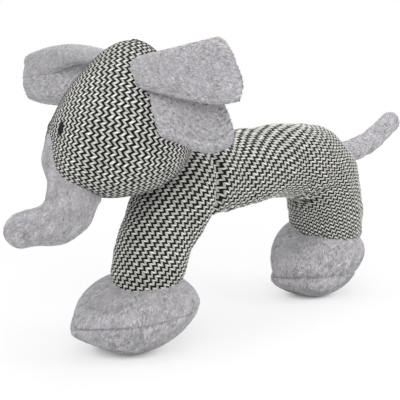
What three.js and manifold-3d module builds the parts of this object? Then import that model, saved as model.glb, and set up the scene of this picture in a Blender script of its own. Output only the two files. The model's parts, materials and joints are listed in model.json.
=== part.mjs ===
// A stuffed elephant toy standing on two feet: woven head, body and legs, plush trunk, ears,
// feet and tail. Millimetres, +Z up. The toy faces -X and its left side is -Y.
// Each cover is a sewn shell with its fibre filling inside, and a squeaker sits in the body.
import * as THREE from 'three';
import { mergeVertices } from 'three/addons/utils/BufferGeometryUtils.js';
import Module from 'manifold-3d';

const wasm = await Module();
wasm.setup();

// Cloth
const WOVEN_CLOTH = 1.6;
const PLUSH_CLOTH = 2.2;
const SEAM_GAP = 0.3;
const FILLING_GAP = 0.3;

// Arched body: the tube's middle line runs from the front ankle over the back to the hind ankle
const ANKLE_SPACING = 160;
const ANKLE_HEIGHT = 34;
const LEG_TUCK = 12;
const FRONT_ANKLE_WIDTH = 40;
const FRONT_LEG_WIDTH = 43;
const FRONT_LEG_LEAN = 9;
const FRONT_LEG_HEIGHT = 58;
const SHOULDER_SETBACK = 36;
const SHOULDER_HEIGHT = 90;
const SHOULDER_WIDTH = 48;
const WAIST_SETBACK = 62;
const WAIST_HEIGHT = 91;
const WAIST_WIDTH = 45;
const BACK_FORWARD = 38;
const BACK_HEIGHT = 93;
const BACK_WIDTH = 47;
const HIP_FORWARD = 11;
const HIP_HEIGHT = 84;
const HIP_WIDTH = 50;
const HIND_LEG_HEIGHT = 56;
const HIND_LEG_WIDTH = 49;
const HIND_ANKLE_WIDTH = 45;
const LEG_SEAM_SLANT = 45;

// Head: an egg, blunt end down, on a leaning middle line, turned a little to the toy's right
const HEAD_HEIGHT = 79;
const HEAD_LENGTH = 71;
const HEAD_WIDTH = 69;
const HEAD_EGG = 0.37;
const HEAD_AHEAD = 14;
const HEAD_RISE = 32.5;
const HEAD_CENTRE_HEIGHT = SHOULDER_HEIGHT + HEAD_RISE;
const HEAD_LEAN = 0.15;
const HEAD_TURN = 10;

// Trunk, in the head's own middle plane: each place is measured ahead of the head's centre
// and below it
const TRUNK_ROOT_AHEAD = 19;
const TRUNK_ROOT_DROP = 17.5;
const TRUNK_ROOT_HEIGHT = HEAD_CENTRE_HEIGHT - TRUNK_ROOT_DROP;
const TRUNK_ROOT_WIDTH = 35;
const TRUNK_UPPER_AHEAD = 28;
const TRUNK_UPPER_DROP = 34.5;
const TRUNK_UPPER_HEIGHT = HEAD_CENTRE_HEIGHT - TRUNK_UPPER_DROP;
const TRUNK_UPPER_WIDTH = 30;
const TRUNK_BEND_AHEAD = 38;
const TRUNK_BEND_DROP = 48.5;
const TRUNK_BEND_HEIGHT = HEAD_CENTRE_HEIGHT - TRUNK_BEND_DROP;
const TRUNK_BEND_WIDTH = 23;
const TRUNK_TIP_AHEAD = 59;
const TRUNK_TIP_DROP = 51;
const TRUNK_TIP_HEIGHT = HEAD_CENTRE_HEIGHT - TRUNK_TIP_DROP;
const TRUNK_TIP_WIDTH = 17;

// Eyes, stitched on the front of the head
const EYE_ANGLE = 12;
const EYE_DROP = 3.5;
const EYE_HEIGHT = HEAD_CENTRE_HEIGHT - EYE_DROP;
const EYE_WIDTH = 3.4;
const EYE_TALL = 6.4;
const EYE_RAISE = 1.2;

// Ears: a sheet of two panels, folded forward at its ridge, hinged along its sewn root.
// The right ear hangs forward, and its lobe curls back.
const EAR_ROOT_ANGLE = 94;
const EAR_ROOT_DROP = 4.5;
const EAR_ROOT_RISE = 28.5;
const EAR_ROOT_LOW = HEAD_CENTRE_HEIGHT - EAR_ROOT_DROP;
const EAR_ROOT_HIGH = HEAD_CENTRE_HEIGHT + EAR_ROOT_RISE;
const EAR_ROOT_TUCK = 6;
const EAR_FOLD_RADIUS = 5;
const EAR_FOLD_START = 0.42;
const EAR_BACK_ROOT = 36;
const EAR_BACK_TIP = 55;
const EAR_RANGE = 30;
const LEFT_EAR_SWING = 10;
const LEFT_EAR_REACH = 59;
const LEFT_EAR_LOBE_SHARE = 0.5;
const LEFT_EAR_BACK_SHARE = 0.79;
const LEFT_EAR_RIDGE_SHARE = 0.84;
const LEFT_EAR_RIM_SHARE = 0.93;
const LEFT_EAR_RISE = 9;
const LEFT_EAR_DROOP = 0;
const LEFT_EAR_FLAP_ROOT = 14;
const LEFT_EAR_FLAP_TIP = 31;
const LEFT_EAR_CURL = 10;
const RIGHT_EAR_SWING = -18;
const RIGHT_EAR_REACH = 64;
const RIGHT_EAR_LOBE_SHARE = 0.55;
const RIGHT_EAR_BACK_SHARE = 0.93;
const RIGHT_EAR_RIDGE_SHARE = 0.93;
const RIGHT_EAR_RIM_SHARE = 0.94;
const RIGHT_EAR_RISE = 28;
const RIGHT_EAR_DROOP = 27;
const RIGHT_EAR_FLAP_ROOT = 16;
const RIGHT_EAR_FLAP_TIP = 16;
const RIGHT_EAR_CURL = 85;
const EAR_CURL_START = 20;
const EAR_CURL_HASTE = 3;
const EAR_CURL_RADIUS = 9;

// Feet: two panels sewn round the middle, with a pointed toe
const FOOT_HEIGHT = 37;
const FOOT_SEAM_HEIGHT = 18;
const FOOT_WIDTH = 66;
const TOE_REACH = 46;
const HEEL_REACH = 26;
const TOE_POINT = 0.8;
const TOE_THIN = 0.55;
const FOOT_FULLNESS = 0.72;
const FOOT_TILT = 0.1;
const SOLE_FLAT = 0.5;
const SOLE_FORWARD = 8;
const SOLE_FULLNESS = 1;
const SOLE_TOE_THIN = 0.85;
const HIND_FOOT_FORWARD = 3;

// Tail: its heights are measured from the hip
const TAIL_ROOT_BEHIND = 12;
const TAIL_ROOT_RISE = 6;
const TAIL_ROOT_HEIGHT = HIP_HEIGHT + TAIL_ROOT_RISE;
const TAIL_MID_BEHIND = 48;
const TAIL_MID_RISE = 13;
const TAIL_MID_HEIGHT = HIP_HEIGHT + TAIL_MID_RISE;
const TAIL_TIP_BEHIND = 76;
const TAIL_TIP_RISE = 26;
const TAIL_TIP_HEIGHT = HIP_HEIGHT + TAIL_TIP_RISE;
const TAIL_WIDTH = 14.5;
const TAIL_TIP_WIDTH = 13;
const TAIL_RANGE = 25;

// Squeaker in the body
const SQUEAKER_WIDTH = 25;
const SQUEAKER_TALL = 20;
const SQUEAKER_WALL = 1.2;
const SQUEAKER_MOUTH = 9;
const REED_LENGTH = 6;
const REED_LIP = 1;
const REED_FIT = 0.3;
const SQUEAKER_BASE_SHARE = 0.6;

// Fineness of the lofts
const COVER_SIDES = 16;
const HEAD_SIDES = 20;
const INNER_SIDES = 12;
const ARCH_RINGS = 30;
const ARCH_INNER_RINGS = 15;
const HEAD_RINGS = 14;
const HEAD_INNER_RINGS = 10;
const TRUNK_RINGS = 10;
const FOOT_RINGS = 12;
const FOOT_INNER_RINGS = 8;
const TAIL_RINGS = 8;
const DOME_RINGS = 3;
const EAR_ROWS = 13;
const EAR_COLUMNS = 7;
const BULB_STEPS = 4;
const BEND_EASE = 0.09;
const SWEEP_STEPS = 3;
const EYE_SIDES = 14;
const EYE_RINGS = 8;
const FAR = 400;

const frontAnkleX = -ANKLE_SPACING / 2;
const hindAnkleX = ANKLE_SPACING / 2;
const headX = frontAnkleX - HEAD_AHEAD;
const SIDE = new THREE.Vector3(0, 1, 0);
const UP = new THREE.Vector3(0, 0, 1);

// Materials
const WOVEN = new THREE.MeshStandardMaterial({ color: 0x8b8a85, roughness: 0.9, metalness: 0 });
const PLUSH = new THREE.MeshStandardMaterial({ color: 0xacaaaf, roughness: 1, metalness: 0 });
const FIBRE = new THREE.MeshStandardMaterial({ color: 0xf0efea, roughness: 1, metalness: 0 });
const THREAD = new THREE.MeshStandardMaterial({ color: 0x141414, roughness: 0.6, metalness: 0 });
const PLASTIC = new THREE.MeshStandardMaterial({ color: 0xe8e8e4, roughness: 0.4, metalness: 0 });

// Solids and cuts

function solidOf(geometry) {
  const bare = geometry.clone();
  bare.deleteAttribute('normal');
  bare.deleteAttribute('uv');
  const merged = mergeVertices(bare, 1e-4);
  const vertProperties = new Float32Array(merged.attributes.position.array);
  const triVerts = new Uint32Array(merged.index.array);
  return new wasm.Manifold(new wasm.Mesh({ numProp: 3, vertProperties, triVerts }));
}

function geometryOf(solid) {
  const mesh = solid.getMesh();
  const geometry = new THREE.BufferGeometry();
  geometry.setAttribute('position', new THREE.BufferAttribute(new Float32Array(mesh.vertProperties), 3));
  geometry.setIndex(new THREE.BufferAttribute(new Uint32Array(mesh.triVerts), 1));
  return geometry;
}

function cut(solid, ...tools) {
  return tools.reduce((rest, tool) => rest.subtract(tool), solid);
}

// Half space on the far side of a plane: a large box whose near face lies on the plane.
function halfSpace(point, direction) {
  const box = new THREE.BoxGeometry(FAR, FAR, FAR);
  box.translate(0, 0, FAR / 2);
  const turn = new THREE.Quaternion().setFromUnitVectors(UP, direction.clone().normalize());
  box.applyQuaternion(turn);
  box.translate(point.x, point.y, point.z);
  return solidOf(box);
}

// Lofts

// Closed skin over rings that run anticlockwise about the direction of travel, with a pole at each end.
function skin(rings, firstPole, lastPole) {
  const sides = rings[0].length;
  const points = [...rings.flat(), firstPole, lastPole];
  const index = [];
  for (let i = 0; i + 1 < rings.length; i++) {
    for (let j = 0; j < sides; j++) {
      const a = i * sides + j;
      const b = i * sides + (j + 1) % sides;
      index.push(a, b, b + sides, a, b + sides, a + sides);
    }
  }
  const first = rings.length * sides;
  const top = first - sides;
  for (let j = 0; j < sides; j++) {
    const k = (j + 1) % sides;
    index.push(first, k, j);
    index.push(first + 1, top + j, top + k);
  }
  const geometry = new THREE.BufferGeometry().setFromPoints(points);
  geometry.setIndex(index);
  return geometry;
}

// Oval ring about a centre: across and deep are its half sizes along the two given axes.
function ovalRing(centre, sides, acrossAxis, across, deepAxis, deep) {
  return Array.from({ length: sides }, (_, j) => {
    const angle = (2 * Math.PI * j) / sides;
    return centre.clone()
      .addScaledVector(acrossAxis, across * Math.cos(angle))
      .addScaledVector(deepAxis, deep * Math.sin(angle));
  });
}

function middleLine(stations) {
  return new THREE.CatmullRomCurve3(stations.map(([x, z]) => new THREE.Vector3(x, 0, z)));
}

// Half widths along a row of stations, as the x of a curve that shares the middle line's steps.
function girthLine(stations) {
  return new THREE.CatmullRomCurve3(stations.map((s) => new THREE.Vector3(s[2] / 2, 0, 0)));
}

// Stuffed tube: a smooth row of round sections along a middle line in the plane y = 0.
// Stations are [x, z, width]. Sections turn with a chord of the line, so that they don't cross in a
// tight bend. A domed end closes with a half ball, any other end is flat.
function stuffedTube(stations, { rings, sides, inset = 0, domedEnd = false }) {
  const line = middleLine(stations);
  const girth = girthLine(stations);
  const rows = [];
  let centre;
  let radius;
  let along;
  let deep;
  for (let i = 0; i <= rings; i++) {
    const t = i / rings;
    centre = line.getPoint(t);
    along = line.getPoint(Math.min(1, t + BEND_EASE))
      .sub(line.getPoint(Math.max(0, t - BEND_EASE)))
      .normalize();
    deep = new THREE.Vector3().crossVectors(along, SIDE);
    radius = girth.getPoint(t).x - inset;
    rows.push(ovalRing(centre, sides, SIDE, radius, deep, radius));
  }
  const lastPole = centre.clone();
  if (domedEnd) {
    for (let k = 1; k <= DOME_RINGS; k++) {
      const angle = (k / (DOME_RINGS + 1)) * (Math.PI / 2);
      const middle = centre.clone().addScaledVector(along, radius * Math.sin(angle));
      const small = radius * Math.cos(angle);
      rows.push(ovalRing(middle, sides, SIDE, small, deep, small));
    }
    lastPole.addScaledVector(along, radius);
  }
  return skin(rows, line.getPoint(0), lastPole);
}

// Places in the head's frame: ahead of its centre, to its right, and height above the floor.
const headPlace = new THREE.Matrix4()
  .makeTranslation(headX, 0, 0)
  .multiply(new THREE.Matrix4().makeRotationZ(-THREE.MathUtils.degToRad(HEAD_TURN)));

// Half size of the egg at a height, as a share of its full half width; 0 at crown and chin.
function eggShare(height) {
  const up = (height - HEAD_CENTRE_HEIGHT) / (HEAD_HEIGHT / 2);
  return Math.sqrt(Math.max(0, 1 - up * up)) * (1 - HEAD_EGG * up);
}

// Middle line of the head at a height, measured along +X from its centre.
function headLine(height) {
  return HEAD_LEAN * (height - HEAD_CENTRE_HEIGHT);
}

// Head egg in the head's frame, grown or shrunk evenly by an inset.
function headEgg({ rings, sides, inset = 0 }) {
  const half = HEAD_HEIGHT / 2 - inset;
  const rows = [];
  for (let i = 1; i < rings; i++) {
    const angle = Math.PI * (1 - i / rings);
    const height = HEAD_CENTRE_HEIGHT + half * Math.cos(angle);
    const share = Math.sin(angle) * (1 - HEAD_EGG * Math.cos(angle));
    const centre = new THREE.Vector3(headLine(height), 0, height);
    const ahead = new THREE.Vector3(1, 0, 0);
    rows.push(ovalRing(centre, sides, ahead, (HEAD_LENGTH / 2 - inset) * share,
      SIDE, (HEAD_WIDTH / 2 - inset) * share));
  }
  const chin = HEAD_CENTRE_HEIGHT - half;
  const crown = HEAD_CENTRE_HEIGHT + half;
  return skin(rows, new THREE.Vector3(headLine(chin), 0, chin), new THREE.Vector3(headLine(crown), 0, crown))
    .applyMatrix4(headPlace);
}

// Point on the egg's surface at a height and an angle from straight ahead, to the left for side -1.
function headSurface(angleDegrees, height, side, raise = 0) {
  const angle = THREE.MathUtils.degToRad(angleDegrees);
  const share = eggShare(height);
  const x = headLine(height) - ((HEAD_LENGTH / 2) * share + raise) * Math.cos(angle);
  const y = side * ((HEAD_WIDTH / 2) * share + raise) * Math.sin(angle);
  return new THREE.Vector3(x, y, height).applyMatrix4(headPlace);
}

// Arched body and legs

const frontFootX = frontAnkleX;
const hindFootX = hindAnkleX - HIND_FOOT_FORWARD;
const archStations = [
  [frontAnkleX, ANKLE_HEIGHT - LEG_TUCK, FRONT_ANKLE_WIDTH],
  [frontAnkleX, ANKLE_HEIGHT, FRONT_ANKLE_WIDTH],
  [frontAnkleX + FRONT_LEG_LEAN, FRONT_LEG_HEIGHT, FRONT_LEG_WIDTH],
  [frontAnkleX + SHOULDER_SETBACK, SHOULDER_HEIGHT, SHOULDER_WIDTH],
  [frontAnkleX + WAIST_SETBACK, WAIST_HEIGHT, WAIST_WIDTH],
  [hindAnkleX - BACK_FORWARD, BACK_HEIGHT, BACK_WIDTH],
  [hindAnkleX - HIP_FORWARD, HIP_HEIGHT, HIP_WIDTH],
  [hindAnkleX, HIND_LEG_HEIGHT, HIND_LEG_WIDTH],
  [hindAnkleX, ANKLE_HEIGHT, HIND_ANKLE_WIDTH],
  [hindAnkleX, ANKLE_HEIGHT - LEG_TUCK, HIND_ANKLE_WIDTH],
];
const archOuter = solidOf(stuffedTube(archStations, { rings: ARCH_RINGS, sides: COVER_SIDES }));
const archGrownTube = stuffedTube(archStations,
  { rings: ARCH_RINGS, sides: COVER_SIDES, inset: -SEAM_GAP });
const archGrown = solidOf(archGrownTube);
const archInner = solidOf(stuffedTube(archStations,
  { rings: ARCH_INNER_RINGS, sides: INNER_SIDES, inset: WOVEN_CLOTH }));
const archFilling = solidOf(stuffedTube(archStations,
  { rings: ARCH_INNER_RINGS, sides: INNER_SIDES, inset: WOVEN_CLOTH + FILLING_GAP }));

// The legs meet the body on slanted planes across the two bends of the arch.
const shoulder = new THREE.Vector3(frontAnkleX + SHOULDER_SETBACK, 0, SHOULDER_HEIGHT);
const hip = new THREE.Vector3(hindAnkleX - HIP_FORWARD, 0, HIP_HEIGHT);
const slant = THREE.MathUtils.degToRad(LEG_SEAM_SLANT);
const shoulderWay = new THREE.Vector3(Math.cos(slant), 0, Math.sin(slant));
const hipWay = new THREE.Vector3(Math.cos(slant), 0, -Math.sin(slant));

// Half space on one side of a seam's plane, starting half a seam gap before it.
function besideSeam(point, way, side) {
  const start = point.clone().addScaledVector(way, (-side * SEAM_GAP) / 2);
  return halfSpace(start, way.clone().multiplyScalar(side));
}

function bodyStretch(solid) {
  return cut(solid, besideSeam(shoulder, shoulderWay, -1), besideSeam(hip, hipWay, 1));
}

function frontLegStretch(solid) {
  return cut(solid, besideSeam(shoulder, shoulderWay, 1), besideSeam(hip, hipWay, 1));
}

function hindLegStretch(solid) {
  return cut(solid, besideSeam(hip, hipWay, -1), besideSeam(shoulder, shoulderWay, -1));
}

// Feet

// Foot pillow about its ankle: an oval outline, drawn to a point at the toe, carried up and down
// to rounded poles. Towards the toe the pillow thins, and its seam tilts down.
function footPillow(footX, { sides, rings, inset = 0 }) {
  const low = FOOT_SEAM_HEIGHT + SOLE_FLAT - FOOT_TILT * SOLE_FORWARD - inset;
  const high = FOOT_HEIGHT - FOOT_SEAM_HEIGHT - inset;
  const rows = [];
  for (let i = 1; i < rings; i++) {
    const climb = Math.PI * (i / rings - 0.5);
    const spread = Math.cos(climb) ** (climb < 0 ? SOLE_FULLNESS : FOOT_FULLNESS);
    const rise = (climb < 0 ? low : high) * Math.sin(climb);
    const lag = SOLE_FORWARD * Math.min(0, Math.sin(climb));
    rows.push(Array.from({ length: sides }, (_, j) => {
      const angle = (2 * Math.PI * j) / sides;
      const toeward = Math.max(0, -Math.cos(angle));
      const reach = (toeward > 0 ? TOE_REACH : HEEL_REACH) - inset;
      const ahead = reach * spread * Math.cos(angle) + lag;
      const across = Math.sign(Math.sin(angle)) * Math.abs(Math.sin(angle)) ** (1 + TOE_POINT * toeward);
      const thin = 1 - (climb < 0 ? SOLE_TOE_THIN : TOE_THIN) * spread * toeward ** 3;
      return new THREE.Vector3(footX + ahead, (FOOT_WIDTH / 2 - inset) * spread * across,
        FOOT_SEAM_HEIGHT + rise * thin + FOOT_TILT * ahead);
    }));
  }
  const bottom = new THREE.Vector3(footX - SOLE_FORWARD, 0,
    FOOT_SEAM_HEIGHT - low - FOOT_TILT * SOLE_FORWARD);
  return skin(rows, bottom, new THREE.Vector3(footX, 0, FOOT_SEAM_HEIGHT + high));
}

const floor = halfSpace(new THREE.Vector3(), new THREE.Vector3(0, 0, -1));
const footSeamWay = new THREE.Vector3(-FOOT_TILT, 0, 1).normalize();

function footSolids(footX) {
  const outer = solidOf(footPillow(footX, { sides: HEAD_SIDES, rings: FOOT_RINGS }));
  const inner = solidOf(footPillow(footX,
    { sides: INNER_SIDES, rings: FOOT_INNER_RINGS, inset: PLUSH_CLOTH }));
  const grown = solidOf(footPillow(footX, { sides: HEAD_SIDES, rings: FOOT_RINGS, inset: -SEAM_GAP }));
  const filling = solidOf(footPillow(footX,
    { sides: INNER_SIDES, rings: FOOT_INNER_RINGS, inset: PLUSH_CLOTH + FILLING_GAP }));
  const shell = cut(outer, inner, floor);
  const seam = new THREE.Vector3(footX, 0, FOOT_SEAM_HEIGHT);
  const upper = cut(shell, besideSeam(seam, footSeamWay, -1), archInner);
  const sole = cut(shell, besideSeam(seam, footSeamWay, 1));
  return { upper, sole, filling: cut(filling, floor), grown };
}

const frontFoot = footSolids(frontFootX);
const hindFoot = footSolids(hindFootX);

// Head and trunk

const headOuter = solidOf(headEgg({ rings: HEAD_RINGS, sides: HEAD_SIDES }));
const headGrownEgg = headEgg({ rings: HEAD_RINGS, sides: HEAD_SIDES, inset: -SEAM_GAP });
const headGrown = solidOf(headGrownEgg);
const headInner = solidOf(headEgg(
  { rings: HEAD_INNER_RINGS, sides: INNER_SIDES, inset: WOVEN_CLOTH }));
const headFilling = solidOf(headEgg(
  { rings: HEAD_INNER_RINGS, sides: INNER_SIDES, inset: WOVEN_CLOTH + FILLING_GAP }));

const trunkStations = [
  [-TRUNK_ROOT_AHEAD, TRUNK_ROOT_HEIGHT, TRUNK_ROOT_WIDTH],
  [-TRUNK_UPPER_AHEAD, TRUNK_UPPER_HEIGHT, TRUNK_UPPER_WIDTH],
  [-TRUNK_BEND_AHEAD, TRUNK_BEND_HEIGHT, TRUNK_BEND_WIDTH],
  [-TRUNK_TIP_AHEAD, TRUNK_TIP_HEIGHT, TRUNK_TIP_WIDTH],
];

function trunkTube(sides, inset) {
  const tube = stuffedTube(trunkStations, { rings: TRUNK_RINGS, sides, inset, domedEnd: true });
  return solidOf(tube.applyMatrix4(headPlace));
}

const trunkInner = trunkTube(INNER_SIDES, PLUSH_CLOTH);
const trunkCover = cut(trunkTube(COVER_SIDES, 0), trunkInner, headGrown);
const trunkFilling = cut(trunkTube(INNER_SIDES, PLUSH_CLOTH + FILLING_GAP), headGrown);

// Eyes

function stitchedEye(side) {
  const place = headSurface(EYE_ANGLE, EYE_HEIGHT, side);
  const bead = new THREE.SphereGeometry(1, EYE_SIDES, EYE_RINGS);
  bead.scale(EYE_RAISE, EYE_WIDTH / 2, EYE_TALL / 2);
  bead.rotateZ(THREE.MathUtils.degToRad(side * EYE_ANGLE - HEAD_TURN));
  bead.translate(place.x, place.y, place.z);
  return cut(solidOf(bead), headGrown);
}

// Ears

const leftEarForm = {
  side: -1,
  swing: LEFT_EAR_SWING,
  reach: LEFT_EAR_REACH,
  lobeShare: LEFT_EAR_LOBE_SHARE,
  backShare: LEFT_EAR_BACK_SHARE,
  ridgeShare: LEFT_EAR_RIDGE_SHARE,
  rimShare: LEFT_EAR_RIM_SHARE,
  rise: LEFT_EAR_RISE,
  droop: LEFT_EAR_DROOP,
  flapRoot: LEFT_EAR_FLAP_ROOT,
  flapTip: LEFT_EAR_FLAP_TIP,
  curl: LEFT_EAR_CURL,
};
const rightEarForm = {
  side: 1,
  swing: RIGHT_EAR_SWING,
  reach: RIGHT_EAR_REACH,
  lobeShare: RIGHT_EAR_LOBE_SHARE,
  backShare: RIGHT_EAR_BACK_SHARE,
  ridgeShare: RIGHT_EAR_RIDGE_SHARE,
  rimShare: RIGHT_EAR_RIM_SHARE,
  rise: RIGHT_EAR_RISE,
  droop: RIGHT_EAR_DROOP,
  flapRoot: RIGHT_EAR_FLAP_ROOT,
  flapTip: RIGHT_EAR_FLAP_TIP,
  curl: RIGHT_EAR_CURL,
};

// A run that goes straight, then bends by an angle on a radius, then goes straight again.
// Gives how far it has gone on, and how far it has turned aside, after a length.
function bentRun(length, start, radius, angle) {
  const turned = THREE.MathUtils.clamp((length - start) / radius, 0, angle);
  const after = Math.max(0, length - start - radius * angle);
  return {
    on: Math.min(length, start) + radius * Math.sin(turned) + after * Math.cos(turned),
    aside: radius * (1 - Math.cos(turned)) + after * Math.sin(turned),
  };
}

// Share of the reach along the sheet: lobe's edge, back, ridge, flap, flap's free edge.
function earOutline(form) {
  return new THREE.SplineCurve([
    new THREE.Vector2(0, form.lobeShare),
    new THREE.Vector2(EAR_FOLD_START / 3, form.backShare),
    new THREE.Vector2(EAR_FOLD_START, form.ridgeShare),
    new THREE.Vector2((1 + EAR_FOLD_START) / 2, 1),
    new THREE.Vector2(1, form.rimShare),
  ]);
}

// Middle sheet of an ear: u runs from the root out to the rim, and w runs from the lobe's lower edge
// up the back sheet, over the fold at the ridge and down the flap to its free edge.
function earSheet(form) {
  const low = headSurface(EAR_ROOT_ANGLE, EAR_ROOT_LOW, form.side);
  const high = headSurface(EAR_ROOT_ANGLE, EAR_ROOT_HIGH, form.side);
  const heading = THREE.MathUtils.degToRad(EAR_ROOT_ANGLE + form.swing);
  const outward = new THREE.Vector3(-Math.cos(heading), form.side * Math.sin(heading), 0)
    .transformDirection(headPlace);
  const forward = new THREE.Vector3(-Math.sin(heading), -form.side * Math.cos(heading), 0)
    .transformDirection(headPlace);
  const quarter = Math.PI / 2;
  const outline = earOutline(form);
  return (u, w) => {
    const ridge = EAR_ROOT_HIGH + form.rise * u - form.droop * u * u;
    const onFlap = w > EAR_FOLD_START;
    const share = onFlap ? (w - EAR_FOLD_START) / (1 - EAR_FOLD_START) : 1 - w / EAR_FOLD_START;
    const length = share * (onFlap
      ? THREE.MathUtils.lerp(form.flapRoot, form.flapTip, u)
      : THREE.MathUtils.lerp(EAR_BACK_ROOT, EAR_BACK_TIP, u));
    const fold = bentRun(length, 0, EAR_FOLD_RADIUS, quarter);
    const curl = bentRun(length, EAR_CURL_START, EAR_CURL_RADIUS,
      onFlap ? 0 : THREE.MathUtils.degToRad(form.curl) * Math.min(1, EAR_CURL_HASTE * u));
    const pastCurl = length - curl.on;
    const height = ridge - fold.aside + (onFlap ? 0 : pastCurl);
    const ahead = onFlap ? fold.on : -fold.on - curl.aside;
    const onRoot = THREE.MathUtils.clamp((height - EAR_ROOT_LOW) / (EAR_ROOT_HIGH - EAR_ROOT_LOW), 0, 1);
    const place = new THREE.Vector3().lerpVectors(low, high, onRoot);
    place.z = height;
    const reach = form.reach * outline.getPoint(w).y;
    return place
      .addScaledVector(outward, THREE.MathUtils.lerp(-EAR_ROOT_TUCK, reach, u))
      .addScaledVector(forward, ahead);
  };
}

// Closed slab between two offsets of a sheet along its normal.
function slab(sheet, from, to) {
  const step = 1e-3;
  const grid = (offset) => {
    const rows = [];
    for (let i = 0; i <= EAR_COLUMNS; i++) {
      for (let j = 0; j <= EAR_ROWS; j++) {
        const u = i / EAR_COLUMNS;
        const w = j / EAR_ROWS;
        const alongU = sheet(Math.min(1, u + step), w).sub(sheet(Math.max(0, u - step), w));
        const alongW = sheet(u, Math.min(1, w + step)).sub(sheet(u, Math.max(0, w - step)));
        const normal = alongU.cross(alongW).normalize();
        rows.push(sheet(u, w).addScaledVector(normal, offset));
      }
    }
    return rows;
  };
  const points = [...grid(from), ...grid(to)];
  const row = EAR_ROWS + 1;
  const layer = row * (EAR_COLUMNS + 1);
  const index = [];
  const quad = (a, b, c, d) => index.push(a, b, c, a, c, d);
  for (let i = 0; i < EAR_COLUMNS; i++) {
    for (let j = 0; j < EAR_ROWS; j++) {
      const a = i * row + j;
      quad(layer + a, layer + a + row, layer + a + row + 1, layer + a + 1);
      quad(a, a + 1, a + row + 1, a + row);
    }
    const low = i * row;
    const high = low + EAR_ROWS;
    quad(low, low + row, layer + low + row, layer + low);
    quad(high + row, high, layer + high, layer + high + row);
  }
  for (let j = 0; j < EAR_ROWS; j++) {
    const rim = EAR_COLUMNS * row + j;
    quad(j + 1, j, layer + j, layer + j + 1);
    quad(rim, rim + 1, layer + rim + 1, layer + rim);
  }
  const geometry = new THREE.BufferGeometry().setFromPoints(points);
  geometry.setIndex(index);
  return geometry;
}

// Root hinge of an ear: the line between the two ends of its seam, just off the head.
function earHinge(side) {
  const low = headSurface(EAR_ROOT_ANGLE, EAR_ROOT_LOW, side, PLUSH_CLOTH);
  const high = headSurface(EAR_ROOT_ANGLE, EAR_ROOT_HIGH, side, PLUSH_CLOTH);
  return { point: low, axis: high.clone().sub(low).normalize() };
}

// The space that a solid sweeps about an axis, as copies of it turned across the range.
function turnedCopies(geometry, { point, axis }, range) {
  return Array.from({ length: 2 * SWEEP_STEPS + 1 }, (_, i) => {
    const angle = THREE.MathUtils.degToRad((range * (i - SWEEP_STEPS)) / SWEEP_STEPS);
    const turned = geometry.clone()
      .translate(-point.x, -point.y, -point.z)
      .applyMatrix4(new THREE.Matrix4().makeRotationAxis(axis, angle))
      .translate(point.x, point.y, point.z);
    return solidOf(turned);
  });
}

// Both panels of an ear, cut clear of the head through the whole swing.
function earPanels(form) {
  const sheet = earSheet(form);
  const headSweep = turnedCopies(headGrownEgg, earHinge(form.side), EAR_RANGE);
  const panel = (from, to) => cut(solidOf(slab(sheet, from, to)), ...headSweep);
  const half = SEAM_GAP / 2;
  const panels = [panel(half, half + PLUSH_CLOTH), panel(-half - PLUSH_CLOTH, -half)];
  const [front, back] = form.side < 0 ? panels : panels.reverse();
  return { front, back };
}

const leftEar = earPanels(leftEarForm);
const rightEar = earPanels(rightEarForm);

// Tail

const tailStations = [
  [hindAnkleX + TAIL_ROOT_BEHIND, TAIL_ROOT_HEIGHT, TAIL_WIDTH],
  [hindAnkleX + TAIL_MID_BEHIND, TAIL_MID_HEIGHT, TAIL_WIDTH],
  [hindAnkleX + TAIL_TIP_BEHIND, TAIL_TIP_HEIGHT, TAIL_TIP_WIDTH],
];

// Where the tail's middle line comes out of the rump: the first point farther from the arch's
// middle line than the arch's half width there.
function tailRoot() {
  const tail = middleLine(tailStations);
  const arch = middleLine(archStations);
  const girth = girthLine(archStations);
  const samples = 400;
  const shares = Array.from({ length: samples + 1 }, (_, i) => i / samples);
  const isOut = (point) => shares.every((t) => arch.getPoint(t).distanceTo(point) > girth.getPoint(t).x);
  return tail.getPoint(shares.find((t) => isOut(tail.getPoint(t))));
}

function tailTube(sides, inset) {
  return solidOf(stuffedTube(tailStations, { rings: TAIL_RINGS, sides, inset, domedEnd: true }));
}

const tailHinge = { point: tailRoot(), axis: UP };
const rumpSweep = turnedCopies(archGrownTube, tailHinge, TAIL_RANGE);
const tailCover = cut(tailTube(INNER_SIDES, 0), tailTube(INNER_SIDES, PLUSH_CLOTH), ...rumpSweep);
const tailFilling = cut(tailTube(INNER_SIDES, PLUSH_CLOTH + FILLING_GAP), ...rumpSweep);

// Squeaker: a blown bulb standing on its base in a pocket of the body's filling, with the reed
// seated in its mouth.

const bodyMiddleX = (frontAnkleX + WAIST_SETBACK + hindAnkleX - BACK_FORWARD) / 2;
const squeakerPlace = new THREE.Vector3(bodyMiddleX, 0, (WAIST_HEIGHT + BACK_HEIGHT) / 2 - SQUEAKER_TALL / 2);

function squeakerBulb() {
  const half = SQUEAKER_WIDTH / 2;
  const mouth = SQUEAKER_MOUTH / 2;
  const base = half * SQUEAKER_BASE_SHARE;
  const outline = new THREE.Path();
  outline.moveTo(base, 0);
  outline.bezierCurveTo(half, 0, half, SQUEAKER_TALL / 2, half, SQUEAKER_TALL / 2);
  const neck = mouth + SQUEAKER_WALL;
  outline.bezierCurveTo(half, SQUEAKER_TALL, neck, SQUEAKER_TALL, neck, SQUEAKER_TALL);
  const outer = outline.getPoints(BULB_STEPS);
  const height = (y) => THREE.MathUtils.lerp(SQUEAKER_WALL, SQUEAKER_TALL, y / SQUEAKER_TALL);
  const inner = outer
    .map((p) => new THREE.Vector2(Math.max(mouth, p.x - SQUEAKER_WALL), height(p.y)))
    .reverse();
  const profile = [new THREE.Vector2(0, 0), ...outer, ...inner, new THREE.Vector2(0, SQUEAKER_WALL)];
  return new THREE.LatheGeometry(profile, COVER_SIDES).rotateX(Math.PI / 2);
}

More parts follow.
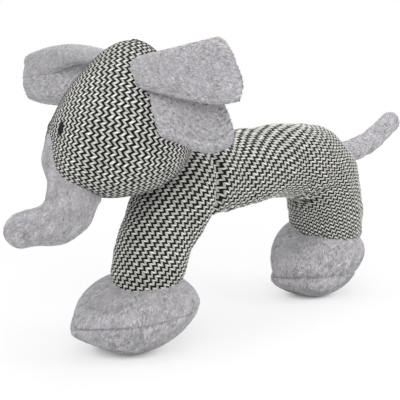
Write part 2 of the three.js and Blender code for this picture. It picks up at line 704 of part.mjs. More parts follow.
// Reed: a plug with a lip that rests on the bulb's mouth.
function squeakerReed() {
  const plug = SQUEAKER_MOUTH / 2 - REED_FIT;
  const lip = SQUEAKER_MOUTH / 2 + SQUEAKER_WALL;
  const profile = [[0, -REED_LENGTH], [plug, -REED_LENGTH], [plug, REED_FIT], [lip, REED_FIT],
    [lip, REED_FIT + REED_LIP], [0, REED_FIT + REED_LIP]].map(([r, z]) => new THREE.Vector2(r, z));
  return new THREE.LatheGeometry(profile, COVER_SIDES).rotateX(Math.PI / 2);
}

// Pocket: a round shaft open through the underside of the filling.
function squeakerPocket() {
  const top = SQUEAKER_TALL + REED_FIT + REED_LIP + FILLING_GAP;
  const deep = BACK_WIDTH;
  const shaft = new THREE.CylinderGeometry(SQUEAKER_WIDTH / 2 + FILLING_GAP, SQUEAKER_WIDTH / 2 + FILLING_GAP,
    top + deep, COVER_SIDES).rotateX(Math.PI / 2);
  shaft.translate(squeakerPlace.x, squeakerPlace.y, squeakerPlace.z + (top - deep) / 2);
  return solidOf(shaft);
}

// Assembly

const toy = new THREE.Group();

function add(group, name, solid, material) {
  const mesh = new THREE.Mesh(geometryOf(solid), material);
  mesh.name = name;
  group.add(mesh);
  return mesh;
}

add(toy, 'body_cover', cut(bodyStretch(archOuter), archInner), WOVEN);
add(toy, 'body_filling', cut(bodyStretch(archFilling), squeakerPocket()), FIBRE);
add(toy, 'front_leg_cover', cut(frontLegStretch(archOuter), archInner, frontFoot.grown), WOVEN);
add(toy, 'front_leg_filling', cut(frontLegStretch(archFilling), frontFoot.grown), FIBRE);
add(toy, 'hind_leg_cover', cut(hindLegStretch(archOuter), archInner, hindFoot.grown), WOVEN);
add(toy, 'hind_leg_filling', cut(hindLegStretch(archFilling), hindFoot.grown), FIBRE);
add(toy, 'front_foot_upper', frontFoot.upper, PLUSH);
add(toy, 'front_foot_sole', frontFoot.sole, PLUSH);
add(toy, 'front_foot_filling', frontFoot.filling, FIBRE);
add(toy, 'hind_foot_upper', hindFoot.upper, PLUSH);
add(toy, 'hind_foot_sole', hindFoot.sole, PLUSH);
add(toy, 'hind_foot_filling', hindFoot.filling, FIBRE);
add(toy, 'head_cover', cut(headOuter, headInner, archGrown, trunkInner), WOVEN);
add(toy, 'head_filling', cut(headFilling, archGrown), FIBRE);
add(toy, 'trunk_cover', trunkCover, PLUSH);
add(toy, 'trunk_filling', trunkFilling, FIBRE);
add(toy, 'left_eye', stitchedEye(-1), THREAD);
add(toy, 'right_eye', stitchedEye(1), THREAD);
add(toy, 'left_ear_front', leftEar.front, PLUSH);
add(toy, 'left_ear_back', leftEar.back, PLUSH);
add(toy, 'right_ear_front', rightEar.front, PLUSH);
add(toy, 'right_ear_back', rightEar.back, PLUSH);

add(toy, 'tail_cover', tailCover, PLUSH);
add(toy, 'tail_filling', tailFilling, FIBRE);

const squeaker = new THREE.Group();
squeaker.position.copy(squeakerPlace);
toy.add(squeaker);
add(squeaker, 'squeaker_bulb', solidOf(squeakerBulb()), PLASTIC);
add(squeaker, 'squeaker_reed', solidOf(squeakerReed()), PLASTIC).position.z = SQUEAKER_TALL;

// The origin is under the middle of the whole toy, on the floor.
const bounds = new THREE.Box3().setFromObject(toy);
const middle = bounds.getCenter(new THREE.Vector3());
toy.position.set(-middle.x, -middle.y, -bounds.min.z);

export default toy;
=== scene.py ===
import json

import bpy
import numpy as np
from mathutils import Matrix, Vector


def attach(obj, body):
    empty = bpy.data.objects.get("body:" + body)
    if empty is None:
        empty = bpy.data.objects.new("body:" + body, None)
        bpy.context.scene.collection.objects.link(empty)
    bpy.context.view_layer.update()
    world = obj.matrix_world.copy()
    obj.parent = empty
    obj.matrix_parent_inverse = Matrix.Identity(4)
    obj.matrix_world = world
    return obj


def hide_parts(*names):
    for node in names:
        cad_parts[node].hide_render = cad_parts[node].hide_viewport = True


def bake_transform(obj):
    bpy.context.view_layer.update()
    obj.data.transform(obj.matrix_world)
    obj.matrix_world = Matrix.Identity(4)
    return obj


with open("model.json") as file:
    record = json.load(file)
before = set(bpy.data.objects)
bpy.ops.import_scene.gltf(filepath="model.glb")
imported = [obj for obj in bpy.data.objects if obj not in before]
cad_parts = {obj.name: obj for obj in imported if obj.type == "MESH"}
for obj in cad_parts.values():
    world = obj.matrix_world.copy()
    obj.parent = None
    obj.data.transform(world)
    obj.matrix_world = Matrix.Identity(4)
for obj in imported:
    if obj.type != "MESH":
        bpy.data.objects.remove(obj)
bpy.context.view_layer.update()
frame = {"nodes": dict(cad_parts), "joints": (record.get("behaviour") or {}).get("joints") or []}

bl_info = {
    "name": "Stuffed elephant toy",
    "version": (1, 0, 0),
    "blender": (4, 2, 0),
    "location": "View3D > Sidebar > Elephant",
    "description": "Builds a stuffed elephant of herringbone cloth and short plush",
    "category": "Add Mesh",
}

# Directions of the frame
SIDE = np.array([0.0, 1.0, 0.0])
UP = np.array([0.0, 0.0, 1.0])

# Pile: width and length of a streak, round and along a piece
FOOT_GRAIN = (0.0006, 0.0024)
EAR_GRAIN = (0.0007, 0.0021)
TRUNK_GRAIN = (0.0021, 0.0007)

# Pile: share, size and first seed of the waves that turn its locks, and the lowest place of a tuft
LOCK_WAVES = ((0.35, 0.014, 1), (0.15, 0.005, 4))
PILE_FLOOR = 0.0004

# Pile: how far a lock strays from the comb, and least and most shares of its lift and length
LOCK_STRAY = 0.10
LOCK_LIFTS, LOCK_LENGTHS = (0.6, 1.4), (0.65, 1.25)

# Pile: spread of a lock's tufts in widths, its stretch along the lock, its share left at the tips,
# how far the tips stray up, and how deep the tufts are rooted
TUFT_SPREAD, TUFT_STRETCH, TIP_SPREAD = 0.8, 1.6, 0.35
TIP_STRAY, TUFT_ROOT = 0.3, 0.3

# Pile: least and most shares of a tuft's length and width, its depth over half its width, how far
# its shading leans to its tip, its own share of tone, and its four corners from foot to tip, which set
# how much of the painted shade at the pile's foot each corner takes
TUFT_LENGTHS, TUFT_WIDTHS, TUFT_DEPTH = (0.7, 1.15), (0.6, 1.2), 1.3
TUFT_LEAN, TUFT_TONE = 0.45, 0.5
TUFT_CORNERS = (0.0, 0.0, 0.15, 1.0)

# Skin under the pile: height, size and seed of its waves
SKIN_WAVES = (0.00025, 0.007, 5)

# Tubes: share of the spans over which the direction is eased, and share of a half ball in a dome
BEND_EASE = 0.09
DOME_SHARE = 0.98

# Arch: number of spans, stations of its armpit, shoulder and hip, and easing of its inner edge
ARCH_SPANS = 9
ARMPIT_AT, SHOULDER_AT, HIP_AT = 3.4, 3.3, 6
INSIDE_EASE = 0.005

# Shoulder crease: slope, the height it is measured at, the heights over which it fades in,
# and the share, place and half width of the swell on either side
CREASE_SLOPE = 0.10
CREASE_LEVEL = 0.085
CREASE_FADE = (0.058, 0.076)
CREASE_SWELLS = ((0.5, -0.011, 0.009), (0.15, 0.012, 0.010))

# Hip gathers: distance from their point and half width of that ring, bearing and spread of the fan,
# and how far, in radians, waves of a given size and seed move them
GATHER_RING = (0.010, 0.017)
GATHER_FAN = (0.8, 0.9)
GATHER_STRAY, GATHER_WAVES = 1.2, (0.03, 23)

# Ankle seams: depth, height above the ankle, half height and reach along the toy
ANKLE_PULL, ANKLE_RISE, ANKLE_HEIGHT, ANKLE_REACH = 0.0009, 0.001, 0.003, 0.035

# Waves given by share, size and seed: uneven filling, and chains that stray across and along
LUMP_WAVES = ((1, 0.034, 21), (0.4, 0.013, 22))
STRAY_ACROSS = ((1, 0.024, 11), (0.5, 0.006, 12))
STRAY_ALONG = ((1, 0.020, 13), (0.6, 0.005, 14))

# Side panels: how much the bends hold the cloth back, and how far round them
BEND_HOLD, BEND_REACH = 1.1, 0.026

# Side panels: lengths from the hip over which the cloth is led on, and where the hind part starts
HIP_LEAD = (-0.012, 0.020)
HIND_START = -0.03

# Side panels: places along the toy where the stretched back begins and ends, and half the length
# and the number of samples over which the stretch is summed
STRETCH_FROM, STRETCH_TO = (-0.060, -0.036), (0.046, 0.070)
STRETCH_REACH, STRETCH_SAMPLES = 0.2, 801

# Side panels: lengths ahead of the hip and below it over which the chains draw together and turn
HIND_AHEAD, HIND_BELOW = (-0.060, -0.010), (-0.004, 0.040)

# Yarn: how much thinner it is at its turns, and the share of its height that stays below the cloth
YARN_PINCH, YARN_LEVEL = 0.45, 0.75

# Head: height, size and seed of its waves, and gap to the shoulder
HEAD_WAVES = (0.0008, 0.035, 31)
HEAD_GAP = 0.0010

# Head: way from pole to pole over its height, and girth over that of a round head
HEAD_MERIDIAN, HEAD_GIRTH = 1.55, 1.04

# Head: depth and half angle of the seam at its back
HEAD_SEAM_DEPTH, HEAD_SEAM_ANGLE = 0.0006, 0.025

# Hinges of the ears: how far they stand off the head's cloth
HINGE_LIFT = 0.0022

# Trunk: height from which it leans, share of the egg at which it starts, height, size and seed of its
# waves, depth and length of its seam, and how far its pile hangs
TRUNK_LEAN_FROM = 0.083
TRUNK_START = 0.985
TRUNK_WAVES = (0.0008, 0.02, 41)
TRUNK_SEAM_DEPTH, TRUNK_SEAM_SHARE = 0.0010, 0.03
TRUNK_HANG = 0.8

# Feet: half width of the seam as an angle of climb, how far the sole is pressed and where it rests,
# how much less a foot swells at its toe, and the climbs without pile under and on top
FOOT_SEAM_ANGLE, FOOT_SEAM_BARE = 0.045, 0.03
SOLE_PRESS, SOLE_REST = 0.0005, 0.0009
TOE_CALM = 0.45
FOOT_BARE_UNDER, FOOT_BARE_TOP = -1.1, 1.25

# Ears: share of the sheet at its fold, shares of the reach over which the fold closes,
# start, radius and haste of the curl, and the places of the outline's shares
FOLD_AT = 0.42
FOLD_CLOSES = (0.3, 0.85)
CURL_START, CURL_RADIUS, CURL_HASTE = 0.020, 0.009, 3
OUTLINE_PLACES = (0, 0.12, 0.28, FOLD_AT, 0.58, 0.80, 1)

# Ears: how fast the corners are drawn in and the lead fades towards the rim, and the lead's share at
# the fold, its growth along the flap and along the back, and its most on the back
CORNER_POWER, LEAD_FADE = 6, 1.5
LEAD_START, LEAD_FLAP, LEAD_BACK, LEAD_MOST = 0.2, 0.3, 2.4, 1.1

# Ears: share over which the rim fills out, place and half width of its stitches, their depth,
# the share of the reach at which they end, and how far the pile hangs
RIM_FILL, STITCH_END = 0.11, 0.99
RIM_STITCHES, RIM_STITCH_DEPTH = (0.022, 0.006), 0.0012
EAR_HANG = 0.6

# Tail: height, size and seed of its waves
TAIL_WAVES = (0.0005, 0.014, 44)

# Eyes: share at which the middle closes, strands of the stitching, their height, the stitching's
# height, depth in the cloth and tilt
EYE_MIDDLE = 0.02
EYE_STRANDS, EYE_STRAND_HEIGHT = 15, 0.00012
EYE_RAISE, EYE_SINK, EYE_TILT = 0.0014, 0.0002, 0.03


# Settings of the toy


def length(name, description, default):
    """Setting for a length in metres."""
    return bpy.props.FloatProperty(
        name=name, description=description, default=default, unit="LENGTH", precision=5
    )


def number(name, description, default):
    """Setting for a plain number."""
    return bpy.props.FloatProperty(name=name, description=description, default=default)


def angle(name, description, default):
    """Setting for an angle, with its default in degrees."""
    return bpy.props.FloatProperty(
        name=name, description=description, default=np.radians(default), subtype="ANGLE"
    )


def count(name, description, default):
    """Setting for a whole number."""
    return bpy.props.IntProperty(name=name, description=description, default=default, min=1)


def station(name, description, default):
    """Setting for a place on a stuffed tube: along, up and width in metres."""
    return bpy.props.FloatVectorProperty(
        name=name, description=description, default=default, size=3, unit="LENGTH", precision=5
    )


def shares(name, description, default):
    """Setting for a row of shares."""
    return bpy.props.FloatVectorProperty(
        name=name, description=description, default=default, size=len(default)
    )


def colour(name, description, default):
    """Setting for a colour."""
    return bpy.props.FloatVectorProperty(
        name=name, description=description, default=default, size=3, subtype="COLOR", min=0, max=1
    )


class BodySettings(bpy.types.PropertyGroup):
    """Sizes of the body and both legs"""

    front_tuck: station("Front tuck", "Lower end of front leg: along, up, width", (-0.0805, 0.024, 0.030))
    front_ankle: station("Front ankle", "Along, up, width", (-0.0788, 0.034, 0.0378))
    front_leg: station("Front leg", "Along, up, width", (-0.0702, 0.058, 0.0402))
    shoulder: station("Shoulder", "Along, up, width", (-0.044, 0.0893, 0.048))
    waist: station("Waist", "Along, up, width", (-0.018, 0.0888, 0.045))
    back: station("Back", "Along, up, width", (0.042, 0.0908, 0.047))
    hip: station("Hip", "Along, up, width", (0.069, 0.0830, 0.050))
    hind_leg: station("Hind leg", "Along, up, width", (0.080, 0.056, 0.049))
    hind_ankle: station("Hind ankle", "Along, up, width", (0.080, 0.034, 0.045))
    hind_tuck: station("Hind tuck", "Lower end of hind leg: along, up, width", (0.0745, 0.027, 0.024))
    mesh_step: length("Cloth step", "Distance between the points of the cloth surface", 0.00042)
    panel_seam: angle("Panel seam", "Where the two side panels meet, above and below the right side", 52)
    front_seam: number("Front seam", "Where the front leg ends, as a share of the arch", 0.36)
    hind_seam: number("Hind seam", "Where the hind leg starts, as a share of the arch", 0.66)
    crease_depth: length("Shoulder crease", "Depth of the crease behind the shoulder", 0.0042)
    crease_along: length("Crease place", "Place of the crease along the toy", -0.045)
    crease_width: length("Crease width", "Half width of the crease", 0.0034)
    armpit: length("Armpit", "How far the cloth is eased round behind the front leg", 0.015)
    armpit_reach: length("Armpit reach", "Length of the eased part", 0.030)
    gather_from: bpy.props.FloatVectorProperty(
        name="Gather from", description="Point the gathers inside the hip fan out from: along, up",
        size=2, default=(0.040, 0.055), unit="LENGTH",
    )
    gathers: number("Gather count", "Gathers in a full turn round that point", 26)
    gather_depth: length("Gathers", "Depth of the gathers inside the hip", 0.0004)
    lumps: length("Lumps", "Height of the uneven filling", 0.0009)


class HeadSettings(bpy.types.PropertyGroup):
    """Sizes of the head, the eyes and the trunk"""

    height: length("Height", "Height of the head", 0.079)
    depth: length("Depth", "Front to back size of the head", 0.071)
    width: length("Width", "Side to side size of the head", 0.069)
    crown: number("Crown", "How much blunter than round the crown is", 0.08)
    egg: number("Egg", "How much fuller the head is below than above", 0.37)
    along: length("Place", "Place of the head along the toy", -0.094)
    centre: length("Centre height", "Height of the middle of the head", 0.1225)
    lean: number("Lean", "How far the crown leans back", 0.15)
    turn: angle("Turn", "How far the head is turned to its left", 10)
    mesh_step: length("Cloth step", "Distance between the points of the cloth surface", 0.00046)
    left_eye: angle("Left eye", "Place of the left eye round the head from the front", 8)
    right_eye: angle("Right eye", "Place of the right eye round the head from the front", 35)
    eye_height: length("Eye height", "Height of the eyes", 0.119)
    eye_width: length("Eye width", "Width of an eye", 0.0036)
    eye_length: length("Eye length", "Height of an eye's stitching", 0.0068)
    trunk_root: station("Trunk root", "Along, up, width, from the head's axis", (-0.0165, 0.1225, 0.021))
    trunk_top: station("Trunk top", "Along, up, width", (-0.0236, 0.1130, 0.0268))
    trunk_full: station("Trunk full", "Along, up, width", (-0.0262, 0.1030, 0.0296))
    trunk_upper: station("Trunk upper", "Along, up, width", (-0.0268, 0.0885, 0.0292))
    trunk_bend: station("Trunk bend", "Along, up, width", (-0.0362, 0.0737, 0.0230))
    trunk_lean: number("Trunk lean", "How far the trunk's root leans to the right as it climbs", 0.17)
    trunk_tip: station("Trunk tip", "Along, up, width", (-0.056, 0.0700, 0.017))


class EarSettings(bpy.types.PropertyGroup):
    """Sizes of the folded ears"""

    root_angle: angle("Root angle", "Place of the ear's root round the head", 94)
    root_low: length("Root low", "Height of the lower end of the root", 0.118)
    root_high: length("Root high", "Height of the upper end of the root", 0.151)
    tuck: length("Tuck", "How far the root is sewn into the head", 0.006)
    fold_radius: length("Fold radius", "Radius of the fold along the ridge", 0.005)
    thickness: length("Thickness", "Thickness of the two panels with their pile", 0.0052)
    rim: length("Rim", "Thickness at the sewn rim", 0.0008)
    left_swing: angle("Left swing", "How far the ear swings back from square to the head", 10)
    left_reach: length("Left reach", "Reach of the ear from root to rim", 0.059)
    left_rise: length("Left rise", "How far the ridge climbs on its way to the rim", 0.009)
    left_droop: length("Left droop", "How far the ridge's end hangs", 0)
    left_flap_root: length("Left flap root", "Height of the folded flap at the root", 0.015)
    left_flap_tip: length("Left flap tip", "Height of the folded flap at the rim", 0.034)
    left_back_root: length("Left back root", "Height of the back at the root", 0.036)
    left_back_tip: length("Left back tip", "Height of the back at the rim", 0.061)
    left_curl: angle("Left curl", "How far the back's lower end curls", 10)
    left_corner: number("Left corner", "How far the corners are drawn in", 0.16)
    left_lead: length("Left lead", "How far the root is led forward below its fold", 0.008)
    left_close: number("Left close", "How far the fold closes towards the rim", 0)
    left_outline: shares(
        "Left outline", "Shares of the reach, lobe to flap", (0.50, 0.62, 0.60, 0.80, 0.96, 1.0, 0.86)
    )
    right_swing: angle("Right swing", "How far the ear swings back from square to the head", -18)
    right_reach: length("Right reach", "Reach of the ear from root to rim", 0.067)
    right_rise: length("Right rise", "How far the ridge climbs on its way to the rim", 0.028)
    right_droop: length("Right droop", "How far the ridge's end hangs", 0.027)
    right_flap_root: length("Right flap root", "Height of the folded flap at the root", 0.007)
    right_flap_tip: length("Right flap tip", "Height of the folded flap at the rim", 0.015)
    right_back_root: length("Right back root", "Height of the back at the root", 0.029)
    right_back_tip: length("Right back tip", "Height of the back at the rim", 0.0375)
    right_curl: angle("Right curl", "How far the back's lower end curls", 85)
    right_corner: number("Right corner", "How far the corners are drawn in", 0.36)
    right_lead: length("Right lead", "How far the root is led forward below its fold", 0)
    right_close: number("Right close", "How far the fold closes towards the rim", 0.9)
    right_outline: shares(
        "Right outline", "Shares of the reach, lobe to flap", (0.25, 0.80, 1.07, 1.11, 1.08, 1.03, 0.92)
    )


class FootSettings(bpy.types.PropertyGroup):
    """Sizes of the feet"""

    front_along: length("Front place", "Place of the front foot along the toy", -0.080)
    front_size: number("Front size", "Size of the front foot across and at its heel", 1)
    front_height: length("Front height", "Height of the front foot", 0.0362)
    front_seam: length("Front seam", "Height of the seam of the front foot", 0.0222)
    front_tilt: number("Front tilt", "Climb of the front foot's seam to its heel", 0.1)
    front_bulge: number("Front bulge", "How far the front foot swells above its seam", 0)
    front_back: length("Front overhang", "How far the top of the front foot sits back", 0)
    front_roll: number("Front roll", "How far the top of the front foot drops to its left", 0.08)
    hind_along: length("Hind place", "Place of the hind foot along the toy", 0.077)
    hind_size: number("Hind size", "Size of the hind foot across and at its heel", 0.74)
    hind_height: length("Hind height", "Height of the hind foot", 0.0475)
    hind_seam: length("Hind seam", "Height of the seam of the hind foot", 0.0158)
    hind_tilt: number("Hind tilt", "Climb of the hind foot's seam to its heel", -0.02)
    hind_bulge: number("Hind bulge", "How far the hind foot swells above its seam", 0.3)
    hind_back: length("Hind overhang", "How far the top of the hind foot sits back", 0.006)
    hind_roll: number("Hind roll", "How far the top of the hind foot drops to its left", 0.22)
    width: length("Width", "Width of a foot", 0.066)
    toe: length("Toe", "Reach of the toe ahead of the leg", 0.046)
    heel: length("Heel", "Reach of the heel behind the leg", 0.026)
    toe_point: number("Toe point", "How pointed the toe is", 0.8)
    upper_thin: number("Upper thinning", "How much thinner the upper is at the toe", 0.40)
    sole_thin: number("Sole thinning", "How much thinner the sole is at the toe", 0.74)
    fullness: number("Fullness", "How full the upper is: less is fuller", 0.56)
    sole_forward: length("Sole forward", "How far the sole sits ahead", 0.013)
    seam_depth: length("Seam depth", "Depth of the groove along the seam", 0.0012)


class TailSettings(bpy.types.PropertyGroup):
    """Sizes of the tail"""

    root: station("Root", "Along, up, width", (0.092, 0.090, 0.0145))
    middle: station("Middle", "Along, up, width", (0.128, 0.097, 0.0145))
    tip: station("Tip", "Along, up, width", (0.156, 0.110, 0.013))


class WeaveSettings(bpy.types.PropertyGroup):
    """Sizes and colours of the woven cloth, and the colour of the thread"""

    body_spacing: length("Body spacing", "Distance between light chains on the body", 0.00376)
    body_zigzag: length("Body zigzag", "Length of one zigzag on the body", 0.0026)
    body_stretch: number("Body stretch", "How far the cloth is stretched along the back", 1.28)
    head_spacing: length("Head spacing", "Distance between light chains on the head", 0.0032)
    head_zigzag: length("Head zigzag", "Length of one zigzag on the head", 0.0034)
    head_slant: angle("Head slant", "How far the chains lean on the head", 1)
    head_rows: angle("Head rows", "How far the rows of yarn drop across the head", 16)
    head_middle: angle("Head middle", "Place round the head where the chains run straight", -62)
    swing: length("Swing", "How far a zigzag swings to the side", 0.0021)
    hind_narrow: number("Hind narrowing", "How far the chains draw together on the hind leg", 0.22)
    hind_long: number("Hind lengthening", "How far the zigzags draw out on the hind leg", 0.05)
    light_share: number("Light share", "Share of the cloth taken by the light yarn", 0.495)
    relief: length("Relief", "How far the light yarn stands up", 0.00042)
    slant: angle("Slant", "Slope of the chains on the body", 46)
    hind_turn: angle("Hind turn", "How far the chains turn on the hind leg", 20)
    wander: length("Wander", "How far the chains stray", 0.00045)
    light: colour("Light yarn", "Colour of the off-white yarn", (0.655, 0.65, 0.615))
    dark: colour("Dark yarn", "Colour of the black yarn", (0.005, 0.005, 0.0045))
    thread: colour("Eye thread", "Colour of the eye stitching", (0.010, 0.010, 0.011))


class PileSettings(bpy.types.PropertyGroup):
    """Sizes and colour of the plush"""

    colour: colour("Plush", "Colour of the plush", (0.49, 0.478, 0.503))
    # Root shade is painted shade: the brightness at the pile's foot, where the tufts shade one another
    root_shade: number("Root shade", "Brightness at the foot of the pile", 0.86)
    hairs: count("Hairs", "Number of tufts in a lock of pile", 4)
    foot_locks: count("Foot locks", "Number of locks on each foot", 10500)
    foot_length: length("Foot pile", "Length of the locks on the feet", 0.0016)
    ear_locks: count("Ear locks", "Number of locks on each ear", 11000)
    ear_length: length("Ear pile", "Length of the locks on the ears, trunk and tail", 0.0013)
    trunk_locks: count("Trunk locks", "Number of locks on the trunk", 9000)
    tail_locks: count("Tail locks", "Number of locks on the tail", 4200)
    tuft_width: length("Tuft width", "Width of a tuft at its foot", 0.00036)


class StageSettings(bpy.types.PropertyGroup):
    """Floor, camera and lights"""

    backdrop: colour("Backdrop", "Colour of the floor", (0.93, 0.93, 0.93))
    floor_glow: number("Floor glow", "Share of white in the floor under the toy", 0.66)
    contact: length("Contact", "How far off the toy still darkens the floor", 0.03)
    contact_ease: number("Contact ease", "How soon the floor leaves the contact shadow", 4)
    floor_near: length("Floor near", "Distance at which the floor starts to fade to white", 0.16)
    floor_far: length("Floor far", "Distance at which the floor is white", 0.34)
    camera_along: length("Camera along", "Place of the camera along the toy", -0.3742)
    camera_across: length("Camera across", "Place of the camera across the toy", -0.3366)
    camera_up: length("Camera up", "Height of the camera", 0.147)
    camera_pitch: angle("Camera pitch", "How far the camera looks down", 8.70)
    camera_azimuth: angle("Camera azimuth", "Heading of the camera from the toy's length", 45)
    camera_lens: number("Lens", "Focal length in millimetres on a 36 mm frame", 76.5)
    key: number("Key light", "Power of the large light above", 3.7)
    side: number("Side lights", "Power of the lights on both sides", 2.6)
    fill: number("Fill light", "Power of the light beside the camera", 4.1)
    ambient: number("Ambient", "Strength of the light from all round", 0.36)


# Curves, surfaces and noise


def unit(vectors):
    """Each vector divided by its length."""
    return vectors / np.maximum(np.linalg.norm(vectors, axis=-1, keepdims=True), 1e-12)


def step(low, high, values):
    """Smooth rise from 0 at low to 1 at high: 3t squared less 2t cubed."""
    t = np.clip((values - low) / (high - low), 0, 1)
    return t * t * (3 - 2 * t)


def hump(values, centre, width):
    """Bell of height 1: e to the power of minus the squared distance over width."""
    return np.exp(-(((values - centre) / width) ** 2))


def waves(points, size, seed, parts=14):
    """Smooth uneven field from -1 to 1: sum of sine waves of that size in random directions."""
    rng = np.random.default_rng(seed)
    heading = unit(rng.normal(size=(parts, 3)))
    rate = 2 * np.pi / size * rng.uniform(0.6, 1.5, parts)
    phase = rng.uniform(0, 2 * np.pi, parts)
    return np.sin(points @ (heading * rate[:, None]).T + phase).sum(-1) / np.sqrt(parts * 2)


def layered(points, layers):
    """Sum of waves, each given by its share, size and seed."""
    return sum(share * waves(points, size, seed) for share, size, seed in layers)


def curve_through(points, share):
    """Centripetal Catmull-Rom curve through points, at shares of its spans."""
    p = np.vstack([2 * points[0] - points[1], points, 2 * points[-1] - points[-2]])
    spans = len(points) - 1
    at = np.clip(share, 0, 1) * spans
    i = np.minimum(at.astype(int), spans - 1)
    w = (at - i)[:, None]
    p0, p1, p2, p3 = p[i], p[i + 1], p[i + 2], p[i + 3]
    d0, d1, d2 = (
        np.sqrt(np.linalg.norm(b - a, axis=1))[:, None] for a, b in ((p0, p1), (p1, p2), (p2, p3))
    )
    m1 = ((p1 - p0) / d0 - (p2 - p0) / (d0 + d1) + (p2 - p1) / d1) * d1
    m2 = ((p2 - p1) / d1 - (p3 - p1) / (d1 + d2) + (p3 - p2) / d2) * d1
    return (
        p1 + m1 * w + (3 * (p2 - p1) - 2 * m1 - m2) * w**2 + (2 * (p1 - p2) + m1 + m2) * w**3
    )


def values_through(values, share):
    """Smooth curve through evenly spaced values, by cubic pieces with central slopes."""
    v = np.concatenate([[values[0]], values, [values[-1]]])
    spans = len(values) - 1
    at = np.clip(share, 0, 1) * spans
    i = np.minimum(at.astype(int), spans - 1)
    w = at - i
    v0, v1, v2, v3 = v[i], v[i + 1], v[i + 2], v[i + 3]
    m1, m2 = (v2 - v0) / 2, (v3 - v1) / 2
    return v1 + m1 * w + (3 * (v2 - v1) - 2 * m1 - m2) * w**2 + (2 * (v1 - v2) + m1 + m2) * w**3


def tube_frame(stations, share):
    """Middle, run, outer direction and radius of a stuffed tube at shares of its spans.

    The middle is a curve through the stations in the upright plane, the run is the eased chord of
    that curve, and the outer direction is square to the run in the same plane."""
    stations = np.array(stations)
    line = np.column_stack([stations[:, 0], np.zeros(len(stations)), stations[:, 1]])
    middle = curve_through(line, share)
    run = unit(
        curve_through(line, np.minimum(share + BEND_EASE, 1))
        - curve_through(line, np.maximum(share - BEND_EASE, 0))
    )
    return middle, run, np.cross(run, SIDE), values_through(stations[:, 2] / 2, share)


def even_shares(stations, rows, samples=900):
    """Shares of the spans that lie evenly along a tube's middle, and the length up to each."""
    dense = np.linspace(0, 1, samples)
    middle = tube_frame(stations, dense)[0]
    run = np.concatenate([[0], np.cumsum(np.linalg.norm(np.diff(middle, axis=0), axis=1))])
    along = np.linspace(0, run[-1], rows)
    return np.interp(along, run, dense), along


def tube_length(stations):
    """Length of a tube's middle."""
    return even_shares(stations, 2)[1][-1]


def domed_tube(stations, rows, sides, starts=None):
    """Round tube with a half ball on its far end: middle plus radius times the turning direction.

    On the dome the middle moves on by radius times the sine of the climb, and the radius shrinks by
    its cosine. starts gives, for each side, the share at which the surface begins."""
    turn = np.linspace(0, 2 * np.pi, sides, endpoint=False)
    dome = max(10, rows // 6)
    begin = np.zeros(sides) if starts is None else starts
    level = np.linspace(0, 1, rows)[:, None]
    share = begin + (1 - begin) * level
    flat = share.ravel()
    middle, run, outer, radius = (v.reshape(rows, sides, -1) for v in tube_frame(stations, flat))
    climb = np.linspace(0, np.pi / 2, dome + 1)[1:, None, None] * DOME_SHARE
    middle = np.concatenate([middle, middle[-1:] + run[-1:] * radius[-1:] * np.sin(climb)])
    radius = np.concatenate([radius, radius[-1:] * np.cos(climb)])
    outer = np.concatenate([outer, np.repeat(outer[-1:], dome, axis=0)])
    swing = turn[None, :, None]
    return middle + radius * (np.cos(swing) * SIDE + np.sin(swing) * outer)


def grid_normals(points, wrap=True):
    """Outward normals of a grid of points: cross product of the steps along both ways."""
    if wrap:
        across = np.roll(points, -1, 1) - np.roll(points, 1, 1)
    else:
        across = np.gradient(points, axis=1)
    return unit(np.cross(across, np.gradient(points, axis=0)))


def raised(points, height):
    """Grid of points moved along its outward normals by the height at each point."""
    return points + grid_normals(points) * height[..., None]


def waved(points, height, size, seed):
    """Grid of points raised by smooth waves of that height and size."""
    return raised(points, height * waves(points, size, seed))


def bilinear(values, row, column):
    """Values of a grid that wraps round at fractional rows and columns."""
    rows, columns = values.shape[:2]
    i = np.clip(row.astype(int), 0, rows - 2)
    j = column.astype(int) % columns
    k = (j + 1) % columns
    s, t = (row - i)[:, None], (column - np.floor(column))[:, None]
    return (
        values[i, j] * (1 - s) * (1 - t)
        + values[i + 1, j] * s * (1 - t)
        + values[i, k] * (1 - s) * t
        + values[i + 1, k] * s * t
    )


# Meshes


def grid_faces(rows, columns):
    """Corner numbers and bake places of the four-sided faces of a grid that wraps round."""
    number = np.arange(rows * columns).reshape(rows, columns)
    i, j = (v.ravel() for v in np.meshgrid(np.arange(rows - 1), np.arange(columns), indexing="ij"))
    k = (j + 1) % columns
    corners = np.stack([number[i, j], number[i, k], number[i + 1, k], number[i + 1, j]], 1)
    u = np.stack([j, j + 1, j + 1, j], 1) / columns
    v = np.stack([i, i, i + 1, i + 1], 1) / (rows - 1)
    return corners, np.stack([u, v], -1)


def ring_caps(rows, columns, pole, far):
    """Triangles that close the first or the last ring of a grid on one pole point."""
    ring = (rows - 1) * columns * far + np.arange(columns)
    following = np.roll(ring, -1)
    poles = np.full(columns, pole)
    corners = np.stack([ring, following, poles] if far else [following, ring, poles], 1)
    at = np.stack([np.arange(columns), np.arange(columns) + 1, np.arange(columns) + 0.5], 1) / columns
    places = np.stack([at, np.full_like(at, float(far))], -1)
    return corners, places if far else places[:, [1, 0, 2]]


def closed_faces(rows, columns):
    """Faces and bake places of a grid that wraps round, closed on a pole point at each end."""
    parts = [
        grid_faces(rows, columns),
        ring_caps(rows, columns, rows * columns, False),
        ring_caps(rows, columns, rows * columns + 1, True),
    ]
    return [corners for corners, _ in parts], [places for _, places in parts]


def with_poles(values):
    """Values of a grid in one list, followed by the means of its first and last rings."""
    return np.concatenate([values.reshape(-1, values.shape[-1]), values[[0, -1]].mean(1)])


def hinge_place(name):
    """Place of a joint in the frame."""
    return np.array(next(j for j in frame["joints"] if j["name"] == name)["pos_m"])


def shift():
    """From drawing places to the frame: the difference at the left ear's hinge."""
    head, ear = bpy.context.scene.toy_head, bpy.context.scene.toy_ear
    turn, height = np.array([ear.root_angle]), np.array([ear.root_low])
    return hinge_place("left_ear_flop") - head_surface(head, turn, height, -1, HINGE_LIFT)[0]


